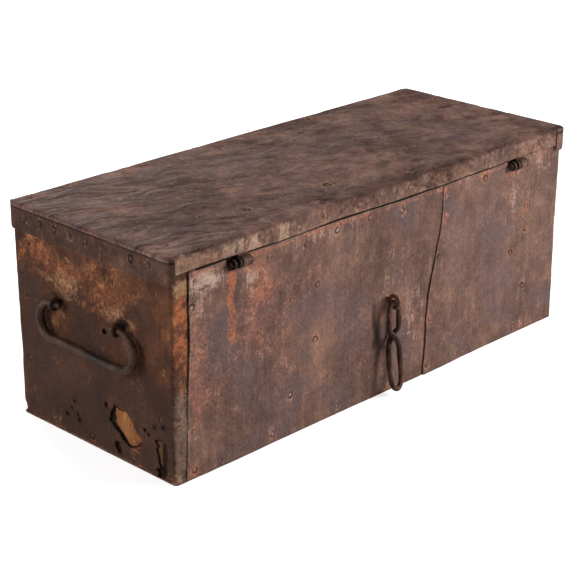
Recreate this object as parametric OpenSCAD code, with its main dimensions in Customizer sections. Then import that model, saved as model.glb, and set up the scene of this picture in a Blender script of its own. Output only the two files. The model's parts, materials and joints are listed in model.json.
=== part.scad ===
// Iron-bound strongbox: a case of nailed boards, clad all over in hammered sheet iron.
// X runs along the length, the hinge side faces -Y, the lock side faces +Y, Z is up.
// The origin is the middle of the base, on the surface that the box stands on.

/* [Case] */
// Length of the clad case, without the lid bands
body_l = 559; // [440:1:700]
// Depth of the clad case, front to back
body_d = 221.5; // [180:0.5:300]
// Height of the case walls, up to the lid seam
body_h = 200; // [160:1:260]
// Thickness of the four wall boards
board_t = 17; // [13:0.5:22]
// Thickness of the bottom board
bottom_t = 15; // [12:0.5:20]

/* [Lid] */
// Thickness of the lid board
lid_board_t = 16.6; // [13:0.2:22]
// How far the lid's long edges stand out past the case
lid_overhang = 1; // [0.6:0.1:2]
// Open seam between the lid and the case walls
seam_gap = 0.4; // [0.3:0.1:1]
// Thickness of the iron band round each end of the lid
band_t = 1.4; // [1:0.1:2.4]
// How far the end bands reach down over the case
band_drop = 9; // [4:0.5:14]
// Running clearance between the end bands and the case
band_gap = 0.6; // [0.4:0.1:1.5]
// Height of the top sheet's lip over each end band
lip_h = 4; // [3:0.5:7]
// Width of the left band's flap on the long sides
flap_left = 6; // [4:1:20]
// Width of the right band's flap on the long sides
flap_right = 13; // [4:1:20]

/* [Iron cladding] */
// Thickness of the sheet iron
sheet_t = 1.2; // [0.8:0.1:1.8]
// Outside radius of the case's upright corners
corner_r = 3.5; // [3:0.5:10]
// Left end sheet's flange left showing on the hinge side
flange_left = 18; // [14:1:30]
// Right end sheet's flange left showing on the hinge side
flange_right = 52; // [46:1:55]
// End sheets' flanges left showing on the lock side
flange_lock = 20; // [14:1:40]
// How far one sheet laps over the next
lap = 12; // [8:1:18]
// Place of the hinge side's upright lap, at its foot
seam_x = 59; // [20:1:90]
// How far that lap's wandering edge leans over between its foot and its top
seam_lean = 24; // [10:1:40]
// Place of the lock side's upright lap
lock_seam_x = 96; // [70:1:150]

/* [Hinges] */
// Distance of each hinge's middle from the end of the case
hinge_in = 79; // [75:1:130]
// Half the length of a hinge barrel
hinge_half = 12; // [11:0.5:18]
// Outside radius of the knuckles
knuckle_r = 5.2; // [4.6:0.1:5.6]
// Radius of the hinge pins
pin_r = 2.2; // [1.6:0.1:2.6]
// Hinge axis: distance out from the lid's rim
hinge_out = 1.5; // [1.2:0.1:2]
// Hinge axis: distance below the top of the walls
hinge_drop = 6; // [5.8:0.1:8]
// Thickness of the hinge leaves
leaf_t = 2; // [1.5:0.1:2.5]
// Height of the case leaf below the hinge axis
case_leaf_h = 20; // [14:1:30]
// Height of the lid leaf above the lid seam
lid_leaf_h = 13; // [9:0.5:13]
// Radial clearance of every pin in its knuckles
pin_fit = 0.05; // [0.02:0.01:0.1]

/* [Handles] */
// Height of the bail pivots
bail_z = 134; // [100:1:145]
// Distance of each eye from the middle of the end
eye_y = 44; // [35:1:60]
// Radius of the bail's round ends, to the middle of the rod
bail_bend_r = 18.5; // [14:0.5:22]
// Radius of the bail's rod
bail_r = 3.7; // [3:0.1:4.5]
// Radius of the bail's turned-in tips
bail_tip_r = 2.9; // [2.2:0.1:3.2]
// Length of a tip inside its eye
bail_tip_l = 7; // [4:0.5:12]
// Radius of the eye rings, to the middle of the rod
eye_ring_r = 5.2; // [4.8:0.1:6.5]
// Radius of the eye's rod
eye_rod_r = 1.9; // [1.5:0.1:2.2]
// Radius of the eye's split shank
shank_r = 2.6; // [2:0.1:3]

/* [Figure-eight link] */
// Place of the link along the hinge side
link_x = 3.5; // [-20:0.5:30]
// Height of the bar that hangs in the staple
link_z = 98.5; // [94:0.5:110]
// Length of the link, between the middles of its two end bars
link_l = 91; // [70:1:91]
// Share of that length taken by the upper loop
upper_share = 0.42; // [0.36:0.01:0.5]
// Half the width of the upper loop, to the middle of the rod
upper_half = 7; // [6.4:0.1:9]
// Half the width of the lower loop, to the middle of the rod
lower_half = 8; // [6.4:0.1:10]
// Radius of the link's rod
link_r = 2.8; // [2.2:0.1:3]
// How far the foot of the link is bent away from the box
link_bend = 6.5; // [0:0.5:7]
// Least gap between the two strands where they cross
strand_gap = 0.7; // [0.5:0.1:2]
// Radius of the link staple's ring, to the middle of the rod
link_ring_r = 6; // [5.8:0.1:7]
// Radius of the link staple's rod
link_ring_rod_r = 2.2; // [1.8:0.1:2.4]

/* [Hasp] */
// Width of the hasp strap
hasp_w = 26; // [22:1:34]
// Thickness of the hasp strap
hasp_t = 2.4; // [2:0.1:3]
// Length of the strap below its pivot
hasp_l = 61; // [58:1:80]
// Outside radius of the hasp's knuckles
hasp_knuckle_r = 4.2; // [3.8:0.1:4.4]
// Radius of the hasp pin
hasp_pin_r = 1.9; // [1.5:0.1:2.1]
// Depth of the padlock staple's legs below the hasp's pivot
staple_drop = 38; // [36:0.5:42]
// Radius of the padlock staple's bow
bow_r = 6.6; // [6:0.1:7]
// Radius of the padlock staple's rod
bow_rod_r = 2.4; // [2:0.1:2.6]
// Length of the staple's straight legs in front of the case
bow_leg = 7; // [6:0.5:10]
// Clearance round the staple in the hasp's slot
slot_gap = 1.4; // [1:0.1:2]
// How far the hasp stands swung off its staple, in degrees
hasp_rest = 36; // [30:1:45]

/* [Nails] */
// Radius of the clout nails' round heads
head_r = 2.3; // [1.6:0.1:2.6]
// Height of the heads
head_h = 1.2; // [0.8:0.1:1.3]
// Width of the square shanks
nail_w = 1.6; // [1.2:0.1:2]
// Length of the shanks below their heads
nail_l = 10; // [8:0.5:12]
// Clearance round each shank
nail_fit = 0.05; // [0.02:0.01:0.1]
// Distance of a lap's nails from its edge
nail_edge = 5; // [4:0.5:8]
// Spacing of the rows of nails on the lock side and the base
nail_pitch = 68; // [50:1:90]

/* [Hidden] */
$fn = 48;

iron = "#4a3a35";
dark_iron = "#2f2724";
rust = "#6e4a35";
wood = "#b58d57";

eps = 0.01;
// How far a cut starts outside the surface that it cuts
over = 1;
far = 2 * body_l;

// Planes of the case, measured out from the middle
bl = body_l / 2;
bd = body_d / 2;
wood_l = bl - sheet_t;
wood_d = bd - sheet_t;
inner_l = wood_l - board_t;
inner_d = wood_d - board_t;

// Planes of the lid
lid_z = body_h + seam_gap;
lid_d = bd + lid_overhang;
lid_wood_l = bl + band_gap;
lid_wood_d = lid_d - sheet_t;
band_l = lid_wood_l + band_t;
lid_l = band_l + sheet_t;
lid_wood_top = lid_z + lid_board_t;
lid_top = lid_wood_top + sheet_t;
rim_z = (lid_z + lid_top) / 2;

// Joint axes
hinge_y = -(lid_d + hinge_out);
hinge_z = body_h - hinge_drop;
eye_out = eye_ring_r + eye_rod_r;
bail_x = bl + eye_out;
link_y = -(bd + link_ring_r + link_ring_rod_r);
hasp_gap = 0.4;
hasp_y = lid_d + hasp_knuckle_r + hasp_gap;
hasp_z = lid_z + hasp_knuckle_r + hasp_gap;

// Signs for the left and right ends
LEFT = -1;
RIGHT = 1;

function flange(end) = end == LEFT ? flange_left : flange_right;
function flap(end) = end == LEFT ? flap_left : flap_right;

// Evenly spaced places from -span to span, no further apart than about one pitch
function row(span, pitch) = let (n = max(1, round(2 * span / pitch)))
    [for (i = [0 : n]) -span + 2 * span * i / n];

// Shared shapes

// Rectangle with round corners, centred
module rounded(l, d, r) {
    square([l - 2 * r, d], center = true);
    square([l, d - 2 * r], center = true);
    for (x = [-1, 1], y = [-1, 1])
        translate([x * (l / 2 - r), y * (d / 2 - r)]) circle(r);
}

// Stands a drawing of the XZ plane up as a plate, from y to y + t
module upright(y, t) {
    translate([0, y + t, 0]) rotate([90, 0, 0]) linear_extrude(t) children();
}

// Stands a drawing of the YZ plane up as a plate, from x to x + t
module endwise(x, t) {
    translate([x, 0, 0]) rotate([90, 0, 90]) linear_extrude(t) children();
}

// Block between two opposite corners
module block(a, b) {
    translate(a) cube(b - a);
}

// Rod along X, centred
module rod_x(r, l) {
    rotate([0, 90, 0]) cylinder(r = r, h = l, center = true);
}

// One nail: a low round head, narrower on top, on a square shank that points down
head_top_r = 0.6 * head_r;

module nail() {
    cylinder(r1 = head_r, r2 = head_top_r, h = head_h, $fn = 20);
    translate([-nail_w / 2, -nail_w / 2, -nail_l]) cube([nail_w, nail_w, nail_l + eps]);
}

// The hole that a nail's shank leaves, started above the surface
module nail_hole() {
    w = nail_w + 2 * nail_fit;
    translate([-w / 2, -w / 2, -nail_l - nail_fit]) cube([w, w, nail_l + nail_fit + over]);
}

// Turns a nail that points down so that it points into one face of the box
module into_hinge_side() { rotate([90, 0, 0]) children(); }
module into_lock_side() { rotate([-90, 0, 0]) children(); }
module into_end(end) { rotate([0, 90 * end, 0]) children(); }

// Nail places

// Hammered edge of the lapped sheet: a wandering line, as shares of the height and of the lean
lap_edge = [[0, 0], [0.19, 0.1], [0.41, 0.163], [0.51, 0.342], [0.71, 0.8], [0.79, 0.925],
    [0.87, 0.983], [1, 1]];
lap_reach = seam_lean + lap;
joggle = 6;

function lap_edge_x(z) = seam_x + seam_lean * lookup(z, lap_edge);

// Width of the left sheet up to the foot of the lap, and of the right one past the joggle
left_w = bl - flange_left + seam_x;
right_x = seam_x + lap_reach + joggle;
right_w = bl - flange_right - right_x;

// Hinge side, in the open: x as a share of each sheet's width, z as a share of the walls' height
left_sheet_nails = [[0.11, 0.03], [0.03, 0.95], [0.31, 0.945], [0.405, 0.685], [0.512, 0.715],
    [0.27, 0.48], [0.396, 0.21], [0.503, 0.44], [0.324, 0.045], [0.465, 0.935], [0.594, 0.95],
    [0.726, 0.215], [0.736, 0.955], [0.88, 0.935], [0.6, 0.04], [0.824, 0.035]];
right_sheet_nails = [[0.222, 0.04], [0.397, 0.95], [0.778, 0.48], [0.857, 0.04]];
flange_nails = [[0.52, 0.5], [0.54, 0.89], [0.28, 0.06]];

// Each place is [x, z, how many sheets it stands out from the side sheet's face]
hinge_nail_places = concat(
    [for (z = [0.83, 0.59, 0.23, 0.04]) [-bl + flange_left + nail_edge, z * body_h, 0]],
    [for (p = left_sheet_nails) [-bl + flange_left + p.x * left_w, p.y * body_h, 0]],
    [for (z = [0.05, 0.3, 0.62, 0.815, 0.93]) [lap_edge_x(z) + nail_edge, z * body_h, 1]],
    [for (p = right_sheet_nails) [right_x + p.x * right_w, p.y * body_h, 0]],
    [for (z = [0.71, 0.59, 0.26, 0.05]) [bl - flange_right - nail_edge, z * body_h, 0]],
    [for (p = flange_nails) [bl - p.x * flange_right, p.y * body_h, -1]]);

// Lock side: rows along both edges, clear of the lap and the hasp, a column on each lap, and a few more
leaf_half = 17;
head_room = head_r + 1;

function off_lap(x) = x < lock_seam_x - head_room || x > lock_seam_x + 2 * lap + head_room;

lock_nail_places = concat(
    [for (x = row(bl - flange_lock - 2 * nail_edge, nail_pitch)) if (off_lap(x)) [x, 0.05 * body_h, 0]],
    [for (x = row(bl - flange_lock - 2 * nail_edge, nail_pitch))
        if (off_lap(x) && abs(x) > 2 * leaf_half) [x, 0.94 * body_h, 0]],
    [for (z = [0.3, 0.53, 0.76] * body_h, s = [-1, 1]) [s * (bl - flange_lock - nail_edge), z, 0]],
    [for (z = [0.06, 0.3, 0.53, 0.76, 0.92] * body_h) [lock_seam_x + nail_edge, z, 1]],
    [for (p = [[-0.54, 0.62], [-0.24, 0.35], [0.11, 0.22], [0.64, 0.42]]) [p.x * bl, p.y * body_h, 0]]);

// Ends: y as a share of the half depth, z as a share of the walls' height
end_nail_shares = [[-0.82, 0.9], [-0.88, 0.55], [-0.84, 0.3], [-0.5, 0.06], [0.05, 0.05], [0.52, 0.06],
    [0.86, 0.31], [0.84, 0.62], [0.8, 0.9], [0.3, 0.88], [-0.27, 0.87], [0.12, 0.33]];
end_nail_places = [for (p = end_nail_shares) [p.x * bd, p.y * body_h]];

// Lid: shares of the half length and half depth
top_nail_shares = [[-0.948, 0.93], [-0.747, 0.905], [-0.43, 0.2], [-0.523, -0.6], [-0.684, -0.425],
    [-0.12, 0.82], [0.58, 0.225], [0.302, -0.01], [0.767, 0.04], [0.654, -0.94], [-0.145, -0.61],
    [-0.287, -0.905], [0.819, 0.645], [0.4, 0.9], [0.93, 0.9], [0.94, -0.5], [0.15, -0.92],
    [-0.93, -0.72]];
top_nail_places = [for (p = top_nail_shares) [p.x * lid_wood_l, p.y * lid_d]];
rim_hinge_x = [-0.957, -0.615, -0.32, -0.15, 0.11, 0.37, 0.53, 0.86] * bl;
rim_lock_x = [-0.9, -0.62, -0.36, -0.17, 0.19, 0.45, 0.7, 0.9] * bl;
band_nail_y = [0.795, 0.6, 0.41, 0.208, 0.005, -0.215, -0.363, -0.552, -0.757] * bd;

// Base: rows under the four walls, short of the corners
corner_in = 27;
bottom_nail_places = concat(
    [for (x = row(wood_l - corner_in, 2 * nail_pitch), y = [-1, 1] * (wood_d - board_t / 2)) [x, y]],
    [for (x = [-1, 1] * (wood_l - board_t / 2), y = row(inner_d - corner_in, nail_pitch)) [x, y]]);

hinge_x = bl - hinge_in;
hinge_sides = [LEFT * hinge_x, RIGHT * hinge_x];

module hinge_nails_at() {
    for (p = hinge_nail_places)
        translate([p.x, -bd - p.z * sheet_t, p.y]) into_hinge_side() children();
}

module lock_nails_at() {
    for (p = lock_nail_places)
        translate([p.x, bd + p.z * sheet_t, p.y]) into_lock_side() children();
}

module end_nails_at(end) {
    for (p = end_nail_places) translate([end * bl, p.x, p.y]) into_end(end) children();
}

module top_nails_at() {
    for (p = top_nail_places) translate([p.x, p.y, lid_top]) children();
}

module rim_nails_at() {
    for (x = rim_hinge_x) translate([x, -lid_d, rim_z]) into_hinge_side() children();
    for (x = rim_lock_x) translate([x, lid_d, rim_z]) into_lock_side() children();
}

// The band nails sit below the top sheet's lip
band_nail_drop = 4;

module band_nails_at(end) {
    for (y = band_nail_y)
        translate([end * band_l, y, rim_z - band_nail_drop]) into_end(end) children();
}

// The end boards are nailed through the long boards, from outside and under the sheets
module carcass_nails_at() {
    for (end = [LEFT, RIGHT], z = [0.18, 0.5, 0.8] * body_h) {
        translate([end * (wood_l - board_t / 2), -wood_d + sheet_t, z]) into_hinge_side() children();
        translate([end * (wood_l - board_t / 2), wood_d - sheet_t, z]) into_lock_side() children();
    }
}

// Case

// Plan of a long board: round at the outer corners and let in for the end sheets' flanges
module long_board_plan(show_left, show_right) {
    intersection() {
        translate([-wood_l, -wood_d]) square([2 * wood_l, board_t]);
        union() {
            rounded(2 * wood_l, 2 * (wood_d - sheet_t), corner_r - sheet_t);
            translate([-bl + show_left + lap, -wood_d])
                square([2 * bl - show_left - show_right - 2 * lap, 2 * wood_d]);
        }
    }
}

// Pocket round a hinge barrel, open at the top, cut in from the hinge side to a given plane
pocket_gap = 1.5;
pocket_round_r = 4;

module hinge_pocket(x, floor_y) {
    half = hinge_half + pocket_gap;
    low = hinge_z - knuckle_r - pocket_gap;
    inner_half = half - pocket_round_r;
    upright(-far, far + floor_y) translate([x, 0]) {
        translate([-half, low + pocket_round_r]) square([2 * half, body_h - low]);
        translate([-inner_half, low]) square([2 * inner_half, pocket_round_r + eps]);
        for (s = [-1, 1]) translate([s * inner_half, low + pocket_round_r]) circle(pocket_round_r);
    }
}

module hinge_pockets(floor_y) {
    for (x = hinge_sides) hinge_pocket(x, floor_y);
}

module hinge_side_board() {
    color(wood) difference() {
        translate([0, 0, sheet_t]) linear_extrude(body_h - sheet_t)
            long_board_plan(flange_left, flange_right);
        hinge_pockets(hinge_y + knuckle_r + pocket_gap);
        for (x = hinge_sides) case_leaf_plate(x, pin_fit);
        hinge_nails_at() nail_hole();
        carcass_nails_at() carcass_hole();
        case_leaf_nails_at() flush_hole();
        link_shank(nail_fit);
        bottom_nails_at() flush_hole();
        for (end = [LEFT, RIGHT]) end_nails_at(end) nail_hole();
    }
}

module lock_side_board() {
    color(wood) difference() {
        translate([0, 0, sheet_t]) linear_extrude(body_h - sheet_t)
            mirror([0, 1, 0]) long_board_plan(flange_lock, flange_lock);
        lock_nails_at() nail_hole();
        carcass_nails_at() carcass_hole();
        padlock_legs(nail_fit);
        bottom_nails_at() flush_hole();
        for (end = [LEFT, RIGHT]) end_nails_at(end) nail_hole();
    }
}

module end_board(end) {
    color(wood) difference() {
        translate([end == LEFT ? -wood_l : inner_l, -inner_d, sheet_t])
            cube([board_t, 2 * inner_d, body_h - sheet_t]);
        end_nails_at(end) nail_hole();
        carcass_nails_at() carcass_hole();
        for (y = [-1, 1] * eye_y) translate([end * bl, y, bail_z]) eye_shank(end, nail_fit);
        bottom_nails_at() flush_hole();
    }
}

module bottom_board() {
    color(wood) block([-inner_l, -inner_d, sheet_t], [inner_l, inner_d, sheet_t + bottom_t]);
}

// Case cladding

// Face of a long side's sheet between two places along the length
module side_face(x0, x1) {
    translate([x0, sheet_t]) square([x1 - x0, body_h - sheet_t]);
}

// The strip that is set up over the left sheet, with its wandering edge
module lap_face() {
    top = body_h - sheet_t;
    reach = lap_reach + joggle;
    translate([seam_x, sheet_t])
        polygon(concat([for (p = lap_edge) [seam_lean * p.y, top * p.x]], [[reach, top], [reach, 0]]));
}

// The left sheet lies flat on the wood and runs on under the lapped one
module hinge_side_sheet_left() {
    color(iron) difference() {
        upright(-bd, sheet_t) side_face(-bl + flange_left, seam_x + lap_reach);
        hinge_pockets(-wood_d + eps);
        hinge_nails_at() nail_hole();
        link_shank(nail_fit);
    }
}

// The right sheet lies on the wood and its left edge is set up by one thickness to lap the other
module hinge_side_sheet_right() {
    color(iron) difference() {
        union() {
            upright(-bd, sheet_t) side_face(seam_x + lap_reach + nail_fit, bl - flange_right);
            upright(-bd - sheet_t, sheet_t) lap_face();
        }
        hinge_pockets(-wood_d + eps);
        hinge_nails_at() nail_hole();
    }
}

module lock_side_sheet_left() {
    color(iron) difference() {
        upright(wood_d, sheet_t) side_face(-bl + flange_lock, lock_seam_x + lap);
        lock_nails_at() nail_hole();
        padlock_legs(nail_fit);
    }
}

module lock_side_sheet_right() {
    color(iron) difference() {
        union() {
            upright(wood_d, sheet_t) side_face(lock_seam_x + lap + nail_fit, bl - flange_lock);
            upright(bd, sheet_t) side_face(lock_seam_x, lock_seam_x + 2 * lap);
        }
        lock_nails_at() nail_hole();
    }
}

// Plan of an end sheet for the right end: the end itself and a flange round each corner
module end_sheet_plan(show_hinge, show_lock) {
    intersection() {
        difference() {
            rounded(2 * bl, 2 * wood_d, corner_r);
            rounded(2 * wood_l, 2 * (wood_d - sheet_t), corner_r - sheet_t);
        }
        union() {
            translate([bl - show_hinge - lap, -bd]) square([far, bd]);
            translate([bl - show_lock - lap, 0]) square([far, bd]);
        }
    }
}

// Places where rust has eaten through the left end sheet, as outlines in Y and Z
rust_holes = [
    [[-31, 57], [-36, 53], [-44, 53], [-53, 41], [-63, 33], [-66, 25], [-57, 20], [-52, 22], [-46, 30],
        [-38, 34], [-33, 43]],
    [[-92, 41], [-97, 42], [-102, 34], [-103, 20], [-99, 12], [-95, 15], [-95, 27]],
    [[-16, 52], [-19, 53], [-20, 50], [-17, 49]],
    [[-28, 26], [-32, 27], [-34, 18], [-30, 17]]];

// The lower far corner of the left end sheet is eaten away, as an outline in Y, from the corner, and Z
eaten_outline = [[9, -8], [9, 46], [0, 44], [-5, 33], [-8, 22], [-6, 14], [-13, 8], [-20, -8]];

module eaten_corner() {
    translate([bd, 0]) polygon(eaten_outline);
}

module end_sheet(end) {
    color(rust) difference() {
        translate([0, 0, sheet_t]) linear_extrude(body_h - sheet_t)
            mirror([end == LEFT ? 1 : 0, 0, 0]) end_sheet_plan(flange(end), flange_lock);
        hinge_pockets(-wood_d + sheet_t + eps);
        hinge_nails_at() nail_hole();
        lock_nails_at() nail_hole();
        end_nails_at(end) nail_hole();
        for (y = [-1, 1] * eye_y) translate([end * bl, y, bail_z]) eye_shank(end, nail_fit);
        if (end == LEFT) {
            for (outline = rust_holes) endwise(-bl - over, sheet_t + 2 * over) polygon(outline);
            endwise(-bl - over, corner_r + 2 * over) eaten_corner();
        }
    }
}

module bottom_sheet() {
    color(iron) difference() {
        linear_extrude(sheet_t) rounded(2 * bl, 2 * bd, corner_r);
        bottom_nails_at() flush_hole();
    }
}

// Flush nails: a square head let in level with the surface, point along +Z
flush_head = 4.4;
flush_head_t = 0.8;

module flush_nail() {
    translate([-flush_head / 2, -flush_head / 2, 0]) cube([flush_head, flush_head, flush_head_t]);
    translate([-nail_w / 2, -nail_w / 2, 0]) cube([nail_w, nail_w, nail_l]);
}

module flush_hole() {
    head = flush_head + 2 * nail_fit;
    shank = nail_w + 2 * nail_fit;
    translate([-head / 2, -head / 2, -over]) cube([head, head, flush_head_t + nail_fit + over]);
    translate([-shank / 2, -shank / 2, -over]) cube([shank, shank, nail_l + nail_fit + over]);
}

module bottom_nails_at() {
    for (p = bottom_nail_places) translate([p.x, p.y, 0]) children();
}

// Long flush nails through the long boards into the end boards
carcass_nail_l = 2 * board_t;

module carcass_nail() {
    translate([-flush_head / 2, -flush_head / 2, -flush_head_t])
        cube([flush_head, flush_head, flush_head_t]);
    translate([-nail_w / 2, -nail_w / 2, -carcass_nail_l]) cube([nail_w, nail_w, carcass_nail_l]);
}

module carcass_hole() {
    head = flush_head + 2 * nail_fit;
    shank = nail_w + 2 * nail_fit;
    translate([-head / 2, -head / 2, -flush_head_t - nail_fit])
        cube([head, head, flush_head_t + nail_fit + over]);
    translate([-shank / 2, -shank / 2, -carcass_nail_l - nail_fit])
        cube([shank, shank, carcass_nail_l + nail_fit]);
}

// Hinges: narrow forged rings and a leaf on the case, one wide knuckle and a leaf on the lid

ring_w = 3;
ring_places = [-0.7, -0.17] * hinge_half;
knuckle_gap = 0.35;
pin_head_r = 0.85;
pin_head_t = 1;
pin_play = 0.4;

// The leaf on the case, let into the board behind the sheet. With a clearance it is the leaf's bed.
module case_leaf_plate(x, fit) {
    out = fit > 0 ? over : 0;
    translate([x - hinge_half - fit, -wood_d - out, hinge_z - case_leaf_h - fit])
        cube([hinge_half - knuckle_gap + 2 * fit, leaf_t + fit + out, case_leaf_h + 2 * fit]);
}

// The leaf on the lid, let into the board behind the rim, and its bed in the same way
module lid_leaf_plate(x, low, fit) {
    out = fit > 0 ? over : 0;
    translate([x + knuckle_gap - fit, -lid_wood_d - out, low])
        cube([hinge_half - knuckle_gap + 2 * fit, leaf_t + fit + out, lid_z + lid_leaf_h - low + fit]);
}

// Nails of the leaves, as [share of the half barrel, height above the leaf's foot or the seam]
case_leaf_nails = [[-0.27, 5], [-0.73, 10]];
lid_leaf_nails = [[0.3, 9], [0.75, 9]];

module case_leaf_nails_at() {
    for (x = hinge_sides, p = case_leaf_nails)
        translate([x + hinge_half * p.x, -wood_d, hinge_z - case_leaf_h + p.y])
            rotate([-90, 0, 0]) children();
}

module lid_leaf_nails_at() {
    for (x = hinge_sides, p = lid_leaf_nails)
        translate([x + hinge_half * p.x, -lid_wood_d, lid_z + p.y])
            rotate([-90, 0, 0]) children();
}

module pin_bore(x) {
    translate([x, hinge_y, hinge_z]) rod_x(pin_r + pin_fit, 4 * hinge_half);
}

module hinge_case_leaf(x) {
    color(dark_iron) difference() {
        union() {
            for (place = ring_places)
                translate([x + place, hinge_y, hinge_z]) rod_x(knuckle_r, ring_w);
            case_leaf_plate(x, 0);
        }
        pin_bore(x);
        case_leaf_nails_at() flush_hole();
    }
}

module hinge_lid_leaf(x) {
    w = hinge_half - knuckle_gap;
    color(dark_iron) difference() {
        union() {
            translate([x + knuckle_gap + w / 2, hinge_y, hinge_z]) rod_x(knuckle_r, w);
            lid_leaf_plate(x, hinge_z, 0);
        }
        pin_bore(x);
        lid_leaf_nails_at() flush_hole();
    }
}

module hinge_pin(x) {
    color(dark_iron) translate([x, hinge_y, hinge_z]) {
        rod_x(pin_r, 2 * hinge_half);
        translate([-hinge_half - pin_play, 0, 0]) rod_x(pin_r + pin_head_r, pin_head_t);
    }
}

// Lid

module lid_board() {
    color(wood) difference() {
        block([-lid_wood_l, -lid_wood_d, lid_z], [lid_wood_l, lid_wood_d, lid_wood_top]);
        for (x = hinge_sides) lid_leaf_plate(x, lid_z - over, pin_fit);
        lid_leaf_nails_at() flush_hole();
        top_nails_at() nail_hole();
        rim_nails_at() nail_hole();
        for (end = [LEFT, RIGHT]) band_nails_at(end) nail_hole();
        hasp_nails_at() nail_hole();
    }
}

// Section of the top sheet: flat over the board and turned down over both long edges
module top_section() {
    bend = 1.6;
    difference() {
        translate([0, (lid_z + lid_top) / 2 - bend]) rounded(2 * lid_d, lid_top - lid_z + 2 * bend, bend);
        translate([-lid_wood_d, lid_z - far]) square([2 * lid_wood_d, far + lid_board_t]);
        translate([-far / 2, lid_z - far]) square([far, far]);
    }
}

// The top sheet, with a narrow lip turned down over the band at each end
module lid_top_sheet() {
    color(iron) difference() {
        union() {
            endwise(-lid_wood_l, 2 * lid_wood_l) top_section();
            for (end = [LEFT, RIGHT]) {
                mirror([end == LEFT ? 1 : 0, 0, 0]) {
                    block([lid_wood_l - eps, -lid_d, lid_wood_top], [band_l, lid_d, lid_top]);
                    block([band_l, -lid_d, lid_top - lip_h], [lid_l, lid_d, lid_top]);
                }
            }
        }
        top_nails_at() nail_hole();
        rim_nails_at() nail_hole();
        for (end = [LEFT, RIGHT]) band_nails_at(end) nail_hole();
        hasp_nails_at() nail_hole();
    }
}

// Plan of a lid band for the right end: across the end and a flap round each corner
module band_plan(flap_w) {
    out = lid_d + band_t;
    difference() {
        translate([band_l - flap_w, -out]) square([flap_w, 2 * out]);
        translate([0, -lid_d]) square([lid_wood_l, 2 * lid_d]);
    }
}

// A lid band: it hangs below the seam across the end, and its flaps hang a little lower than the rim
flap_drop = 5;

module lid_end_band(end) {
    flap_low = body_h - min(flap_drop, band_drop - eps);
    color(dark_iron) difference() {
        mirror([end == LEFT ? 1 : 0, 0, 0]) {
            translate([0, 0, flap_low]) linear_extrude(lid_wood_top - flap_low) band_plan(flap(end));
            block([lid_wood_l, -lid_d - band_t, body_h - band_drop],
                [band_l, lid_d + band_t, flap_low + eps]);
        }
        band_nails_at(end) nail_hole();
    }
}

// Bail handles

// Clenched legs of the split shanks inside the case
leg_l = 26;
leg_w = 4.2;
leg_t = 2.2;
wall_t = sheet_t + board_t;

// The part of an eye's shank that goes through the wall
module eye_shank(end, fit) {
    translate([-end * (wall_t - over) / 2, 0, 0]) rod_x(shank_r + fit, wall_t + over);
}

// One split eye: a ring on a round shank that goes through the wall, its two legs clenched inside
module bail_eye(end) {
    translate([end * bl, 0, 0]) {
        translate([end * eye_out, 0, 0]) rotate([90, 0, 0])
            rotate_extrude() translate([eye_ring_r, 0]) circle(eye_rod_r, $fn = 24);
        translate([end * (eye_rod_r - wall_t) / 2, 0, 0]) rod_x(0.6 * shank_r, wall_t + eye_rod_r);
        translate([-end * wall_t / 2, 0, 0]) rod_x(shank_r, wall_t);
        translate([-end * (wall_t + leg_t / 2), 0, 0]) cube([leg_t, leg_w, leg_l], center = true);
    }
}

module bail_eyes(end) {
    color(dark_iron) for (y = [-1, 1] * eye_y) translate([0, y, bail_z]) bail_eye(end);
}

// The bail hangs from its turned-in tips: tips, two half rounds and the grip
eye_room = 2;

module bail(end) {
    tip_in = eye_y - bail_tip_l;
    bend_y = eye_y + eye_rod_r + eye_room;
    grip_z = -2 * bail_bend_r;
    color(dark_iron) translate([end * bail_x, 0, bail_z]) {
        for (s = [-1, 1]) {
            translate([0, s * (tip_in + bend_y) / 2, 0]) rotate([90, 0, 0])
                cylinder(r = bail_tip_r, h = bend_y - tip_in, center = true);
            translate([0, s * bend_y, -bail_bend_r]) rotate([90, 0, 90])
                rotate([0, 0, s > 0 ? -90 : 90])
                rotate_extrude(angle = 180) translate([bail_bend_r, 0]) circle(bail_r, $fn = 32);
        }
        translate([0, 0, grip_z]) rotate([90, 0, 0])
            cylinder(r = bail_r, h = 2 * bend_y, center = true, $fn = 32);
    }
}

// Figure-eight link: one rod bent into two loops, its two strands turned half round each other between

strand_steps = 30;
rod_sides = 10;
cross_z = -upper_share * link_l;
twist = 180;
twist_span = 20;
squareness = 0.34;
upper_neck = 0.3;
lower_neck = 0.24;
lower_bow = 0.28;

// Half the distance between the two strands at depth z, from 0 at the top bar to -link_l
function strand_half(z) =
    let (pinch = link_r + strand_gap / 2)
    z > cross_z
        ? let (s = z / cross_z)
            let (neck = smooth((s - 1 + upper_neck) / upper_neck),
                shoulder = pow(abs(1 - pow(max(0, 1 - 2 * s), 6)), squareness))
            upper_half * shoulder * (1 - neck) + pinch * neck
        : let (s = (z - cross_z) / (-link_l - cross_z))
            pinch * (1 - smooth(s / lower_neck)) + lower_half * smooth(s / lower_neck)
                * sqrt(max(0, 1 - pow(max(0, (s - 1 + lower_bow) / lower_bow), 2)));
function smooth(s) = let (c = min(1, max(0, s))) c * c * (3 - 2 * c);
function strand_angle(z) = twist * smooth(0.5 - (z - cross_z) / twist_span);
function foot_bend(z) = -link_bend * pow(max(0, (cross_z - z) / (link_l + cross_z)), 1.4);

// Point of one strand, side 0 or 180 degrees, at a share s of the way down
function strand_point(s, side) =
    let (z = -link_l * (1 - cos(180 * s)) / 2, a = strand_angle(z) + side)
    [strand_half(z) * cos(a), strand_half(z) * sin(a) + foot_bend(z), z];

link_path = concat(
    [for (i = [0 : strand_steps]) strand_point(i / strand_steps, 180)],
    [for (i = [1 : strand_steps - 1]) strand_point(1 - i / strand_steps, 0)]);

function unit(v) = v / norm(v);

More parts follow.
